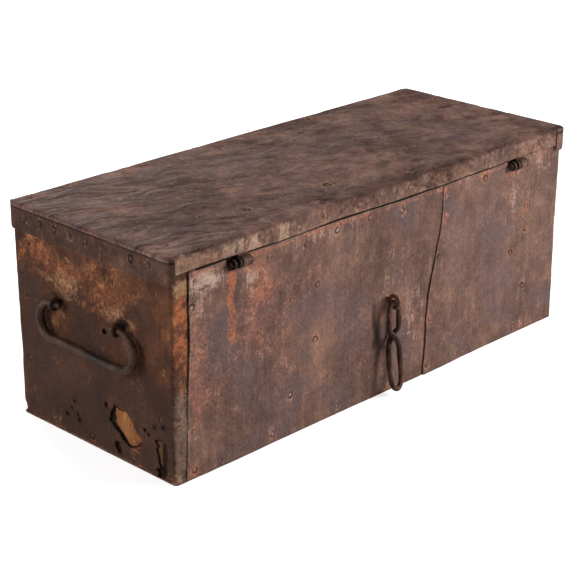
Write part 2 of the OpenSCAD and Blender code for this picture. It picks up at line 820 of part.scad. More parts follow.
// A closed tube of rod_sides sides along a closed path, its sections turned least from one to the next
module closed_tube(path, r) {
    n = len(path);
    tangents = [for (i = [0 : n - 1]) unit(path[(i + 1) % n] - path[(i + n - 1) % n])];
    side_axis = [for (i = [0 : n - 1]) unit(cross(tangents[i], [0, 1, 0.001]))];
    points = [for (i = [0 : n - 1], k = [0 : rod_sides - 1])
        let (a = 360 * k / rod_sides, u = side_axis[i], v = cross(tangents[i], u))
        path[i] + r * (cos(a) * u + sin(a) * v)];
    faces = [for (i = [0 : n - 1], k = [0 : rod_sides - 1], half = [0, 1])
        let (j = (i + 1) % n, m = (k + 1) % rod_sides,
            a = i * rod_sides + k, b = i * rod_sides + m,
            c = j * rod_sides + m, d = j * rod_sides + k)
        half == 0 ? [a, b, c] : [a, c, d]];
    polyhedron(points, faces, convexity = 6);
}

module figure_eight_link() {
    color(dark_iron) translate([link_x, link_y, link_z]) closed_tube(link_path, link_r);
}

// The staple that the link hangs in: a ring on a shank, with its end clenched inside
link_play = 0.4;
link_ring_z = link_z + link_ring_r - link_ring_rod_r - link_r - link_play;

module link_shank(fit) {
    translate([link_x, -bd + (wall_t - over) / 2, link_ring_z]) rotate([90, 0, 0])
        cylinder(r = shank_r + fit, h = wall_t + over, center = true);
}

module link_staple() {
    color(dark_iron) {
        translate([link_x, link_y, link_ring_z]) rotate([0, 90, 0])
            rotate_extrude() translate([link_ring_r, 0]) circle(link_ring_rod_r, $fn = 24);
        translate([link_x, -bd + (wall_t - over) / 2, link_ring_z]) rotate([90, 0, 0])
            cylinder(r = shank_r, h = wall_t + over, center = true);
        translate([link_x, -bd + wall_t + leg_t / 2, link_ring_z])
            cube([leg_w, leg_t, leg_l], center = true);
    }
}

// Hasp on the lock side

hasp_clear = 0.3;
hasp_mid = 5.7;
leaf_in = 2.2;
leaf_high = lid_top - leaf_in;
leaf_nail_in = 4;

module hasp_nails_at() {
    for (x = [-1, 1] * (leaf_half - leaf_nail_in))
        translate([x, lid_d + hasp_t, leaf_high - leaf_nail_in]) into_lock_side() children();
}

module hasp_bore() {
    rod_x(hasp_pin_r + pin_fit, 4 * leaf_half);
}

module hasp_leaf() {
    low = hasp_z - hasp_knuckle_r / 2;
    notch_half = hasp_mid + hasp_clear;
    notch_high = hasp_z + hasp_knuckle_r + 2 * hasp_clear;
    color(dark_iron) difference() {
        union() {
            upright(lid_d, hasp_t) difference() {
                translate([-leaf_half, low]) square([2 * leaf_half, leaf_high - low]);
                translate([-notch_half, 0]) square([2 * notch_half, notch_high]);
            }
            for (s = [-1, 1])
                translate([s * (leaf_half + notch_half) / 2, hasp_y, hasp_z])
                    rod_x(hasp_knuckle_r, leaf_half - notch_half);
        }
        translate([0, hasp_y, hasp_z]) hasp_bore();
        hasp_nails_at() nail_hole();
    }
}

module hasp_pin() {
    pin_half = leaf_half + pin_play;
    color(dark_iron) translate([0, hasp_y, hasp_z]) {
        rod_x(hasp_pin_r, 2 * pin_half);
        for (s = [-1, 1])
            translate([s * (pin_half + pin_head_t / 2), 0, 0]) rod_x(hasp_pin_r + pin_head_r, pin_head_t);
    }
}

// Distances below the hasp's axis at which its slot starts and ends
slot_half = bow_rod_r + slot_gap;
slot_top = staple_drop - bow_r - slot_half;
slot_foot = staple_drop + bow_r + slot_half + hasp_gap;

// Where the strap widens below its knuckle, and how round its shoulders are
strap_top = 12;
shoulder_r = 4;

// The strap: a neck, round shoulders, straight sides and a round foot, with the slot for the staple
module strap_outline() {
    half = hasp_w / 2;
    shoulder_z = -strap_top - shoulder_r;
    foot_z = -hasp_l + half;
    difference() {
        union() {
            translate([-hasp_mid, shoulder_z]) square([2 * hasp_mid, -shoulder_z]);
            translate([-half + shoulder_r, shoulder_z - eps])
                square([2 * (half - shoulder_r), shoulder_r + eps]);
            for (s = [-1, 1]) translate([s * (half - shoulder_r), shoulder_z]) circle(shoulder_r);
            translate([-half, foot_z]) square([2 * half, shoulder_z - foot_z]);
            translate([0, foot_z]) circle(half);
        }
        translate([-slot_half, -slot_foot + slot_half])
            square([2 * slot_half, slot_foot - slot_top - 2 * slot_half]);
        for (z = [slot_top + slot_half, slot_foot - slot_half]) translate([0, -z]) circle(slot_half);
    }
}

// Roll at the foot of the strap, for a finger
foot_roll_r = 2.2;

module hasp_strap() {
    back_y = -hasp_knuckle_r + hasp_clear;
    color(dark_iron) translate([0, hasp_y, hasp_z]) rotate([hasp_rest, 0, 0]) difference() {
        union() {
            rod_x(hasp_knuckle_r, 2 * hasp_mid);
            upright(back_y, hasp_t) strap_outline();
            translate([0, back_y + hasp_t, -hasp_l + foot_roll_r]) rod_x(foot_roll_r, hasp_w / 2);
        }
        hasp_bore();
    }
}

// The padlock staple: two legs through the wall, clenched inside, and a half-round bow in front
staple_z = hasp_z - staple_drop;
clench_l = 12;
clench_in = 4;

module padlock_leg(z, fit, from_y, to_y) {
    translate([0, (from_y + to_y) / 2, z]) rotate([90, 0, 0])
        cylinder(r = bow_rod_r + fit, h = to_y - from_y, center = true);
}

module padlock_legs(fit) {
    for (dz = [-1, 1] * bow_r) padlock_leg(staple_z + dz, fit, inner_d - over, bd + over);
}

module padlock_staple() {
    color(dark_iron) {
        for (s = [-1, 1]) {
            padlock_leg(staple_z + s * bow_r, 0, inner_d, bd + bow_leg + eps);
            translate([0, inner_d - leg_t / 2, staple_z + s * (bow_r + clench_in)])
                cube([leg_w, leg_t, clench_l], center = true);
        }
        translate([0, bd + bow_leg, staple_z]) rotate([0, 90, 0])
            rotate_extrude(angle = 180) translate([bow_r, 0]) circle(bow_rod_r, $fn = 24);
    }
}

// Drawing

hinge_side_board();
lock_side_board();
end_board(LEFT);  // end_board_left
end_board(RIGHT);  // end_board_right
bottom_board();
hinge_side_sheet_left();
hinge_side_sheet_right();
lock_side_sheet_left();
lock_side_sheet_right();
end_sheet(LEFT);  // end_sheet_left
end_sheet(RIGHT);  // end_sheet_right
bottom_sheet();
lid_board();
lid_top_sheet();
lid_end_band(LEFT);  // lid_end_band_left
lid_end_band(RIGHT);  // lid_end_band_right
hinge_case_leaf(LEFT * hinge_x);  // hinge_case_leaf_left
hinge_case_leaf(RIGHT * hinge_x);  // hinge_case_leaf_right
hinge_lid_leaf(LEFT * hinge_x);  // hinge_lid_leaf_left
hinge_lid_leaf(RIGHT * hinge_x);  // hinge_lid_leaf_right
hinge_pin(LEFT * hinge_x);  // hinge_pin_left
hinge_pin(RIGHT * hinge_x);  // hinge_pin_right
bail(LEFT);  // bail_left
bail(RIGHT);  // bail_right
bail_eyes(LEFT);  // bail_eyes_left
bail_eyes(RIGHT);  // bail_eyes_right
figure_eight_link();
link_staple();
hasp_leaf();
hasp_pin();
hasp_strap();
padlock_staple();
color(rust) hinge_nails_at() nail();  // hinge_side_nails
color(rust) lock_nails_at() nail();  // lock_side_nails
color(rust) end_nails_at(LEFT) nail();  // end_nails_left
color(rust) end_nails_at(RIGHT) nail();  // end_nails_right
color(rust) bottom_nails_at() flush_nail();  // bottom_nails
color(rust) carcass_nails_at() carcass_nail();  // carcass_nails
color(rust) case_leaf_nails_at() flush_nail();  // hinge_case_nails
color(rust) lid_leaf_nails_at() flush_nail();  // hinge_lid_nails
color(rust) top_nails_at() nail();  // lid_top_nails
color(rust) rim_nails_at() nail();  // lid_rim_nails
color(rust) band_nails_at(LEFT) nail();  // lid_band_nails_left
color(rust) band_nails_at(RIGHT) nail();  // lid_band_nails_right
color(rust) hasp_nails_at() nail();  // hasp_leaf_nails
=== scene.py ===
"""Looks of the iron-bound strongbox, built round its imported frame.

Every piece is in metres and in the frame's own axes: X runs along the length, the hinge side
faces -Y, the lock side faces +Y, Z is up, and the base stands on Z = 0.
"""

import json
import logging
import math
from collections.abc import Callable, Sequence
from dataclasses import dataclass, field
from enum import Enum, IntEnum

import bpy
import numpy as np
from mathutils import Matrix, Vector

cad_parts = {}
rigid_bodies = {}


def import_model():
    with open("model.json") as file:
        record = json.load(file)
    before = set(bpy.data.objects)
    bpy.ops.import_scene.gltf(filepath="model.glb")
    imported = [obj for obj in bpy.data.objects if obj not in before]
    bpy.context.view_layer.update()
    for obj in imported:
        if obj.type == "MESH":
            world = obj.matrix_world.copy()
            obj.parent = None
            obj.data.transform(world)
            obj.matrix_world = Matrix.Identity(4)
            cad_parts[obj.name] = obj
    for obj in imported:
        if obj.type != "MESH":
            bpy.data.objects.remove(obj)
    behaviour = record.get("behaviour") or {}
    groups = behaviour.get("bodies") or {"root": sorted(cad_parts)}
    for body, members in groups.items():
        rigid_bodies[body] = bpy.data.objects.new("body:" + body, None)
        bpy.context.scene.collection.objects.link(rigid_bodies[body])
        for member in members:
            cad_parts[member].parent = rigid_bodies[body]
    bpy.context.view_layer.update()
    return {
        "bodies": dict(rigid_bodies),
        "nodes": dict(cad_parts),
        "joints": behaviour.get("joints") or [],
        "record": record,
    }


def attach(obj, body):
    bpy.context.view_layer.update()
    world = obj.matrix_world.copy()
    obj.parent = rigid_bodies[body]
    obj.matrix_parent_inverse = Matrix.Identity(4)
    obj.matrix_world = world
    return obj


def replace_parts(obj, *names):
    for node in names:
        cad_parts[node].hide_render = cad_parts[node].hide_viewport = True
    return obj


log = logging.getLogger("strongbox")

Array = np.ndarray
Colour = tuple[float, float, float]
Outline = Callable[[Array, Array], Array]

FLOAT_SLACK = 1e-9
SHEET_FOOT = 0.0003
# How far a nail head is sunk into its sheet
SUNK = 0.0001
# How far in from a cut edge its rust and its bright rim fade, and how thick a sheet is shown
RUSTY_EDGE = 0.004
BRIGHT_EDGE = 0.0012
SKIN = 0.0009


class End(IntEnum):
    """The two ends of the box, each as the sign of its X."""

    LEFT = -1
    RIGHT = 1

    @property
    def side(self) -> str:
        """The word for this end in the names of pieces."""
        return self.name.lower()


LEFT, RIGHT = End

# Numbers that the whole box shares


@dataclass(frozen=True)
class BoxSizes:
    """Planes of the box, in metres, as the frame has them."""

    half_length: float = 0.2795
    half_depth: float = 0.11075
    wall_top: float = 0.200
    sheet: float = 0.0012
    corner: float = 0.0035
    lid_low: float = 0.2004
    lid_top: float = 0.2182
    lid_half_depth: float = 0.11175
    band: float = 0.0014
    band_end: float = 0.2815
    lip_end: float = 0.2827
    hinge_x: float = 0.2005
    hinge_y: float = -0.11325
    hinge_z: float = 0.194
    bail_z: float = 0.134
    bail_x: float = 0.2866
    link_x: float = 0.0035
    eye_y: float = 0.044


BOX = BoxSizes()


class Tone(Enum):
    """Marks of age, with painted shade and painted highlights, that a surface carries. Each is a
    point attribute that a finish reads.
    """

    RUST = "rust"
    PALE = "pale"
    # Soot, and painted shade in gaps, hollows, holes and under parts
    SOOT = "soot"
    # Wear, and painted highlights on crests, bends and nail heads
    WORN = "worn"
    ASH = "ash"


@dataclass(frozen=True)
class Stain:
    """A soft patch of one tone: its middle, its reach along each axis, and its strength."""

    tone: Tone
    middle: tuple[float, float, float]
    reach: tuple[float, float, float]
    strength: float = 1.0

    def weight(self, points: Array) -> Array:
        """Strength of the stain at each point."""
        away = (points - np.array(self.middle)) / np.array(self.reach)
        return self.strength * np.exp(-((away**2).sum(1) ** 1.3))


# Smooth noise on plain arrays


def hashed(ix: Array, iy: Array, iz: Array, seed: int) -> Array:
    """Gives each whole-number place its own fixed value.

    Args:
        ix: Whole places along X.
        iy: Whole places along Y.
        iz: Whole places along Z.
        seed: Number that picks the pattern.

    Returns:
        Values from 0 to 1.
    """
    mask = 0xFFFFFFFF
    n = (ix * 73856093 ^ iy * 19349663 ^ iz * 83492791 ^ seed * 50331653) & mask
    n = ((n ^ (n >> 15)) * 739982445) & mask
    n = ((n ^ (n >> 12)) * 695872825) & mask
    return ((n ^ (n >> 15)) & 0xFFFFFF) / float(0xFFFFFF)


def soft_noise(points: Array, seed: int) -> Array:
    """Smooth noise with features about one unit across.

    Args:
        points: Places, one row each.
        seed: Number that picks the pattern.

    Returns:
        Values from -1 to 1.
    """
    base = np.floor(points).astype(np.int64)
    part = points - base
    part = part * part * (3 - 2 * part)
    total = np.zeros(len(points))
    for dx in (0, 1):
        for dy in (0, 1):
            for dz in (0, 1):
                share = (
                    (part[:, 0] if dx else 1 - part[:, 0])
                    * (part[:, 1] if dy else 1 - part[:, 1])
                    * (part[:, 2] if dz else 1 - part[:, 2])
                )
                corner = hashed(base[:, 0] + dx, base[:, 1] + dy, base[:, 2] + dz, seed)
                total += share * corner
    return 2 * total - 1


def fractal(
    points: Array, size: float, seed: int, octaves: int = 3,
    stretch: Sequence[float] = (1.0, 1.0, 1.0),
) -> Array:
    """Sum of smooth noises, each half as large and half as strong as the one before.

    Args:
        points: Places in metres, one row each.
        size: Size of the largest features, in metres.
        seed: Number that picks the pattern.
        octaves: How many noises are added.
        stretch: How much longer the features are along each axis.

    Returns:
        Values from about -1 to 1.
    """
    total = np.zeros(len(points))
    weight = 0.0
    for octave in range(octaves):
        grain = size / 2**octave
        total += soft_noise(points / (grain * np.array(stretch)), seed + 17 * octave) / 2**octave
        weight += 0.5**octave
    return total / weight * 1.4


def placed(x: Array | float, y: Array | float, z: Array | float) -> Array:
    """Points in rows, from coordinates of which some may be one number."""
    return np.stack(np.broadcast_arrays(x, y, z), 1)


def along_y(points: Array) -> Array:
    """The part of each point along Y, which tells the outer face of a side sheet."""
    return points * np.array([0, 1, 0])


def past_corner(du: Array, dv: Array) -> Array:
    """Distance past two edges that meet, below zero within both."""
    return np.hypot(np.maximum(du, 0), np.maximum(dv, 0)) + np.minimum(np.maximum(du, dv), 0)


def grid_lines(low: float, high: float, step: float) -> Array:
    """Lines of a grid from low up to exactly high."""
    lines = np.arange(low, high + 1e-6, step)
    return np.append(lines[lines < high - step / 2], high)


def ease(value: Array, low: float, high: float) -> Array:
    """Smooth step from 0 at low to 1 at high."""
    share = np.clip((value - low) / (high - low), 0, 1)
    return share * share * (3 - 2 * share)


def polygon_distance(u: Array, v: Array, corners: Sequence[tuple[float, float]]) -> Array:
    """Distance from an outline, below zero inside it.

    Args:
        u: First coordinates of the points.
        v: Second coordinates of the points.
        corners: The outline's corners in order.

    Returns:
        One distance for each point.
    """
    nearest = np.full(len(u), np.inf)
    inside = np.zeros(len(u), bool)
    for (ua, va), (ub, vb) in zip(corners, [*corners[1:], corners[0]], strict=True):
        du, dv = ub - ua, vb - va
        share = np.clip(((u - ua) * du + (v - va) * dv) / (du * du + dv * dv), 0, 1)
        nearest = np.minimum(nearest, np.hypot(u - ua - share * du, v - va - share * dv))
        crosses = (va > v) != (vb > v)
        at = ua + (v - va) * du / np.where(dv == 0, FLOAT_SLACK, dv)
        inside ^= crosses & (u < at)
    return np.where(inside, -nearest, nearest)


# Meshes


def store_tones(mesh: bpy.types.Mesh, tones: dict[Tone, Array]) -> None:
    """Stores every tone as a point attribute, held between 0 and 1.

    Args:
        mesh: The mesh.
        tones: Strength of each tone at each point, where it has any.
    """
    for tone in Tone:
        values = tones.get(tone, np.zeros(len(mesh.vertices)))
        layer = mesh.attributes.new(tone.value, "FLOAT", "POINT")
        layer.data.foreach_set("value", np.clip(values, 0, 1).astype(np.float32))


def new_piece(
    name: str, points: Array, faces: Array | list, tones: dict[Tone, Array] | None = None,
    sharp: float = 40.0,
) -> bpy.types.Object:
    """Makes a smooth-shaded mesh object with the marks of age as point attributes.

    Args:
        name: Name of the piece.
        points: Its corners, one row each.
        faces: Its faces, as rows of corner numbers.
        tones: Strength of each tone at each corner.
        sharp: Angle in degrees above which an edge stays sharp.

    Returns:
        The new object, linked into the scene.
    """
    mesh = bpy.data.meshes.new(name)
    mesh.from_pydata(points.tolist(), [], faces if isinstance(faces, list) else faces.tolist())
    mesh.polygons.foreach_set("use_smooth", [True] * len(mesh.polygons))
    mesh.set_sharp_from_angle(angle=math.radians(sharp))
    store_tones(mesh, tones or {})
    piece = bpy.data.objects.new(name, mesh)
    bpy.context.scene.collection.objects.link(piece)
    return piece


def slide_to_outline(
    u: Array, v: Array, rim: Array, keep: Outline, reach: float
) -> tuple[Array, Array]:
    """Moves the corners next to a cut on to its outline, so that the cut isn't stepped.

    Args:
        u: First grid coordinates.
        v: Second grid coordinates.
        rim: Numbers of the corners on the cut grid's border.
        keep: Distance inside the outline.
        reach: How far a corner may move.

    Returns:
        The moved coordinates.
    """
    u, v = u.copy(), v.copy()
    probe = 0.0002
    for _ in range(3):
        ru, rv = u[rim], v[rim]
        level = keep(ru, rv)
        gu = (keep(ru + probe, rv) - keep(ru - probe, rv)) / (2 * probe)
        gv = (keep(ru, rv + probe) - keep(ru, rv - probe)) / (2 * probe)
        steep = np.maximum(gu**2 + gv**2, 0.25)
        move = np.where(np.abs(level) < reach, level / steep, 0)
        u[rim] -= move * gu
        v[rim] -= move * gv
    return u, v


def border_edges(faces: Array, count: int) -> Array:
    """Directed edges that only one face has, as rows of two corner numbers.

    Args:
        faces: Corner numbers of each face.
        count: How many corners the mesh has.

    Returns:
        The edges, one to a row.
    """
    edges = np.concatenate([faces[:, [k, (k + 1) % 4]] for k in range(4)])
    forward = edges[:, 0] * count + edges[:, 1]
    back = edges[:, 1] * count + edges[:, 0]
    return edges[~np.isin(forward, back)]


def point_normals(points: Array, faces: Array) -> Array:
    """Unit normals at the corners of a mesh of four-sided faces.

    Args:
        points: The corners.
        faces: Corner numbers of each face.

    Returns:
        One unit vector for each corner.
    """
    a, b, c, d = (points[faces[:, k]] for k in range(4))
    across = np.cross(c - a, d - b)
    total = np.zeros_like(points)
    for k in range(4):
        np.add.at(total, faces[:, k], across)
    return total / np.maximum(np.linalg.norm(total, axis=1, keepdims=True), FLOAT_SLACK)


@dataclass
class Sheet:
    """A piece of sheet metal: a grid over its face, cut to an outline, with a thickness."""

    name: str
    us: Array
    vs: Array
    place: Callable[[Array, Array], Array]
    keep: Outline
    thickness: float
    paint: Callable[[Array, Array], dict[Tone, Array]]
    outward: Callable[[Array], Array] = field(default=lambda p: p - np.array([0, 0, 0.1]))

    def build(self) -> bpy.types.Object:
        """Cuts the grid, gives it a thickness and paints it.

        Returns:
            The sheet as one closed mesh.
        """
        count_u, count_v = len(self.us), len(self.vs)
        u, v = (a.ravel() for a in np.meshgrid(self.us, self.vs, indexing="ij"))
        number = np.arange(count_u * count_v).reshape(count_u, count_v)
        faces = np.stack(
            [number[:-1, :-1], number[1:, :-1], number[1:, 1:], number[:-1, 1:]], -1
        ).reshape(-1, 4)
        faces = faces[self.keep(u, v)[faces].mean(1) > 0]
        faces = self.without_loose(faces, len(u))
        rim = np.unique(border_edges(faces, len(u)))
        cell = max(np.diff(self.us).max(), np.diff(self.vs).max())
        u, v = slide_to_outline(u, v, rim, self.keep, 1.5 * cell)
        used, faces = np.unique(faces, return_inverse=True)
        faces = faces.reshape(-1, 4)
        u, v = u[used], v[used]
        outer = self.place(u, v)
        normals = point_normals(outer, faces)
        if (normals * self.outward(outer)).sum() < 0:
            faces = faces[:, ::-1]
            normals = -normals
        inner = outer - self.thickness * normals
        count = len(outer)
        edges = border_edges(faces, count)
        walls = np.stack([edges[:, 1], edges[:, 0], edges[:, 0] + count, edges[:, 1] + count], -1)
        tones = self.paint(outer, self.keep(u, v))
        return new_piece(
            self.name,
            np.concatenate([outer, inner]),
            np.concatenate([faces, faces[:, ::-1] + count, walls]),
            {tone: np.concatenate([values, values]) for tone, values in tones.items()},
        )

    @staticmethod
    def without_loose(faces: Array, count: int) -> Array:
        """Drops faces that hang on by a single corner or stand alone.

        Args:
            faces: The kept faces.
            count: Number of corners.

        Returns:
            The faces that share at least two edges with others.
        """
        for _ in range(3):
            edges = np.stack([faces[:, [k, (k + 1) % 4]] for k in range(4)], 1)
            forward = edges[..., 0] * count + edges[..., 1]
            back = edges[..., 1] * count + edges[..., 0]
            shared = np.isin(forward, back).sum(1)
            faces = faces[shared >= 2]
        return faces


def ring_faces(rows: int, count: int, sides: int) -> Array:
    """Four-sided faces between each ring of corners and the next.

    Args:
        rows: How many rings have a ring after them.
        count: How many rings there are.
        sides: Corners in each ring.

    Returns:
        Corner numbers of each face.
    """
    i = np.repeat(np.arange(rows), sides)
    k = np.tile(np.arange(sides), rows)
    j, m = (i + 1) % count, (k + 1) % sides
    return np.stack([i * sides + k, i * sides + m, j * sides + m, j * sides + k], -1)


def capped(faces: Array, count: int, sides: int) -> list[list[int]]:
    """Adds the two end faces to a rod of rings.

    Args:
        faces: The faces between the rings.
        count: How many rings there are.
        sides: Corners in each ring.

    Returns:
        All faces, the two ends last.
    """
    return [
        *faces.tolist(), list(range(sides))[::-1], [(count - 1) * sides + n for n in range(sides)]
    ]


def tube(
    name: str, path: Array, radii: Array, sides: int = 14, closed: bool = False,
    rough: float = 0.0, seed: int = 1, tones: Callable[[Array], dict[Tone, Array]] | None = None,
) -> bpy.types.Object:
    """A forged rod along a path, its skin a little uneven.

    Args:
        name: Name of the piece.
        path: Points of the middle line, one row each.
        radii: Radius at each point.
        sides: Number of sides.
        closed: Whether the path joins up.
        rough: Depth of the hammer marks, in metres.
        seed: Number that picks the marks.
        tones: Paints the skin.

    Returns:
        The rod as one closed mesh.
    """
    count = len(path)
    if closed:
        tangents = np.roll(path, -1, 0) - np.roll(path, 1, 0)
    else:
        tangents = np.gradient(path, axis=0)
    tangents /= np.linalg.norm(tangents, axis=1, keepdims=True)
    first = np.cross(tangents[0], [0.1, 0.3, 1.0])
    frames = [first / np.linalg.norm(first)]
    for tangent in tangents[1:]:
        axis = frames[-1] - tangent * np.dot(frames[-1], tangent)
        frames.append(axis / np.linalg.norm(axis))
    side = np.array(frames)
    if closed:
        last = side[-1] - tangents[0] * np.dot(side[-1], tangents[0])
        drift = math.atan2(
            np.dot(np.cross(side[0], last), tangents[0]), np.dot(side[0], last)
        )
        turn = -drift * np.arange(count) / count
        other = np.cross(tangents, side)
        side = side * np.cos(turn)[:, None] + other * np.sin(turn)[:, None]
    other = np.cross(tangents, side)
    angle = 2 * math.pi * np.arange(sides) / sides
    ring = (
        np.cos(angle)[None, :, None] * side[:, None, :]
        + np.sin(angle)[None, :, None] * other[:, None, :]
    )
    skin = path[:, None, :] + radii[:, None, None] * ring
    points = skin.reshape(-1, 3)
    if rough:
        bump = rough * fractal(points, 0.006, seed, 2)
        points = points + ring.reshape(-1, 3) * bump[:, None]
    faces = ring_faces(count if closed else count - 1, count, sides)
    listed = faces.tolist() if closed else capped(faces, count, sides)
    return new_piece(name, points, listed, tones(points) if tones else None, 60.0)


def rounded_ends(path: Array, radii: Array, steps: int = 4) -> tuple[Array, Array]:
    """Adds shrinking sections at both ends of a rod, so that its ends are round.

    Args:
        path: Points of the middle line.
        radii: Radius at each point.
        steps: Sections added at each end.

    Returns:
        The longer path and its radii.
    """
    start = path[0] - path[1]
    end = path[-1] - path[-2]
    start /= np.linalg.norm(start)
    end /= np.linalg.norm(end)
    bend = np.linspace(0, math.pi / 2 * 0.93, steps + 1)[1:]
    depth = 0.7
    head = [path[0] + start * radii[0] * depth * math.sin(a) for a in bend[::-1]]
    foot = [path[-1] + end * radii[-1] * depth * math.sin(a) for a in bend]
    return (
        np.concatenate([head, path, foot]),
        np.concatenate([radii[0] * np.cos(bend[::-1]), radii, radii[-1] * np.cos(bend)]),
    )


def joined(name: str, pieces: Sequence[bpy.types.Object]) -> bpy.types.Object:
    """Joins several new meshes into one piece.

    Args:
        name: Name of the joined piece.
        pieces: The objects, which are used up.

    Returns:
        The joined piece.
    """
    bpy.ops.object.select_all(action="DESELECT")
    for piece in pieces:
        piece.select_set(True)
    bpy.context.view_layer.objects.active = pieces[0]
    bpy.ops.object.join()
    whole = pieces[0]
    whole.name = name
    whole.data.name = name
    return whole


# Node trees, and shader maths written as expressions


class Number:
    """A value that runs through a material's nodes, used with the ordinary signs."""

    def __init__(self, shader: "Shader", socket: bpy.types.NodeSocket) -> None:
        """Wraps one output socket of a shader's tree."""
        self.shader = shader
        self.socket = socket

    def math(self, operation: str, *values: "Number | float") -> "Number":
        """Adds one Math node.

        Args:
            operation: The Math node's operation.
            values: Its inputs in order.

        Returns:
            The node's result.
        """
        made = self.shader.node(
            "ShaderNodeMath", {"operation": operation}, dict(enumerate(values))
        )
        return Number(self.shader, made.outputs[0])

    def __add__(self, other: "Number | float") -> "Number":
        """The sum."""
        return self.math("ADD", self, other)

    def __radd__(self, other: float) -> "Number":
        """The sum, number first."""
        return self.math("ADD", other, self)

    def __sub__(self, other: "Number | float") -> "Number":
        """The difference."""
        return self.math("SUBTRACT", self, other)

    def __rsub__(self, other: float) -> "Number":
        """The difference, number first."""
        return self.math("SUBTRACT", other, self)

    def __mul__(self, other: "Number | float") -> "Number":
        """The product."""
        return self.math("MULTIPLY", self, other)

    def __rmul__(self, other: float) -> "Number":
        """The product, number first."""
        return self.math("MULTIPLY", other, self)

    def step(self, low: float, high: float) -> "Number":
        """Smooth step from 0 at low to 1 at high.

        Args:
            low: Where the step starts.
            high: Where it ends.

        Returns:
            The step.
        """
        made = self.shader.node(
            "ShaderNodeMapRange",
            {"interpolation_type": "SMOOTHSTEP"},
            {"Value": self, "From Min": low, "From Max": high},
        )
        return Number(self.shader, made.outputs["Result"])

    def size(self) -> "Number":
        """The value without its sign."""
        return self.math("ABSOLUTE", self)

    def clamped(self) -> "Number":
        """The value held between 0 and 1."""
        made = self.shader.node("ShaderNodeClamp", {}, {"Value": self})
        return Number(self.shader, made.outputs[0])


def linear(colour: "str | Colour") -> Colour:
    """A colour in linear light, also from the six hexadecimal digits that it is written as.

    Args:
        colour: Six hexadecimal digits, or a colour in linear light.

    Returns:
        The colour in linear light.
    """
    if not isinstance(colour, str):
        return colour
    parts = (int(colour[k : k + 2], 16) / 255 for k in (0, 2, 4))
    return tuple(c / 12.92 if c <= 0.04045 else ((c + 0.055) / 1.055) ** 2.4 for c in parts)


class Nodes:
    """A node tree, and the one way in which nodes are added to it."""

    def __init__(self, tree: bpy.types.NodeTree) -> None:
        """Takes a tree and empties it."""
        self.tree = tree
        tree.nodes.clear()

    def node(
        self, kind: str, settings: dict | None = None, sockets: dict | None = None
    ) -> bpy.types.Node:
        """Adds one node.

        Args:
            kind: The node's type.
            settings: Its properties, set first.
            sockets: Values or links of its inputs, by name or number.

        Returns:
            The new node.
        """
        made = self.tree.nodes.new(kind)
        for key, value in (settings or {}).items():
            setattr(made, key, value)
        for key, value in (sockets or {}).items():
            self.feed(made.inputs[key], value)
        return made

    def feed(self, socket: bpy.types.NodeSocket, value: object) -> None:
        """Links an input, or sets it to a plain value or colour.

        Args:
            socket: The input.
            value: What it gets.
        """
        if isinstance(value, Number):
            value = value.socket
        if isinstance(value, bpy.types.NodeSocket):
            self.tree.links.new(value, socket)
        elif socket.type == "RGBA":
            socket.default_value = (*linear(value), 1.0)
        else:
            socket.default_value = value


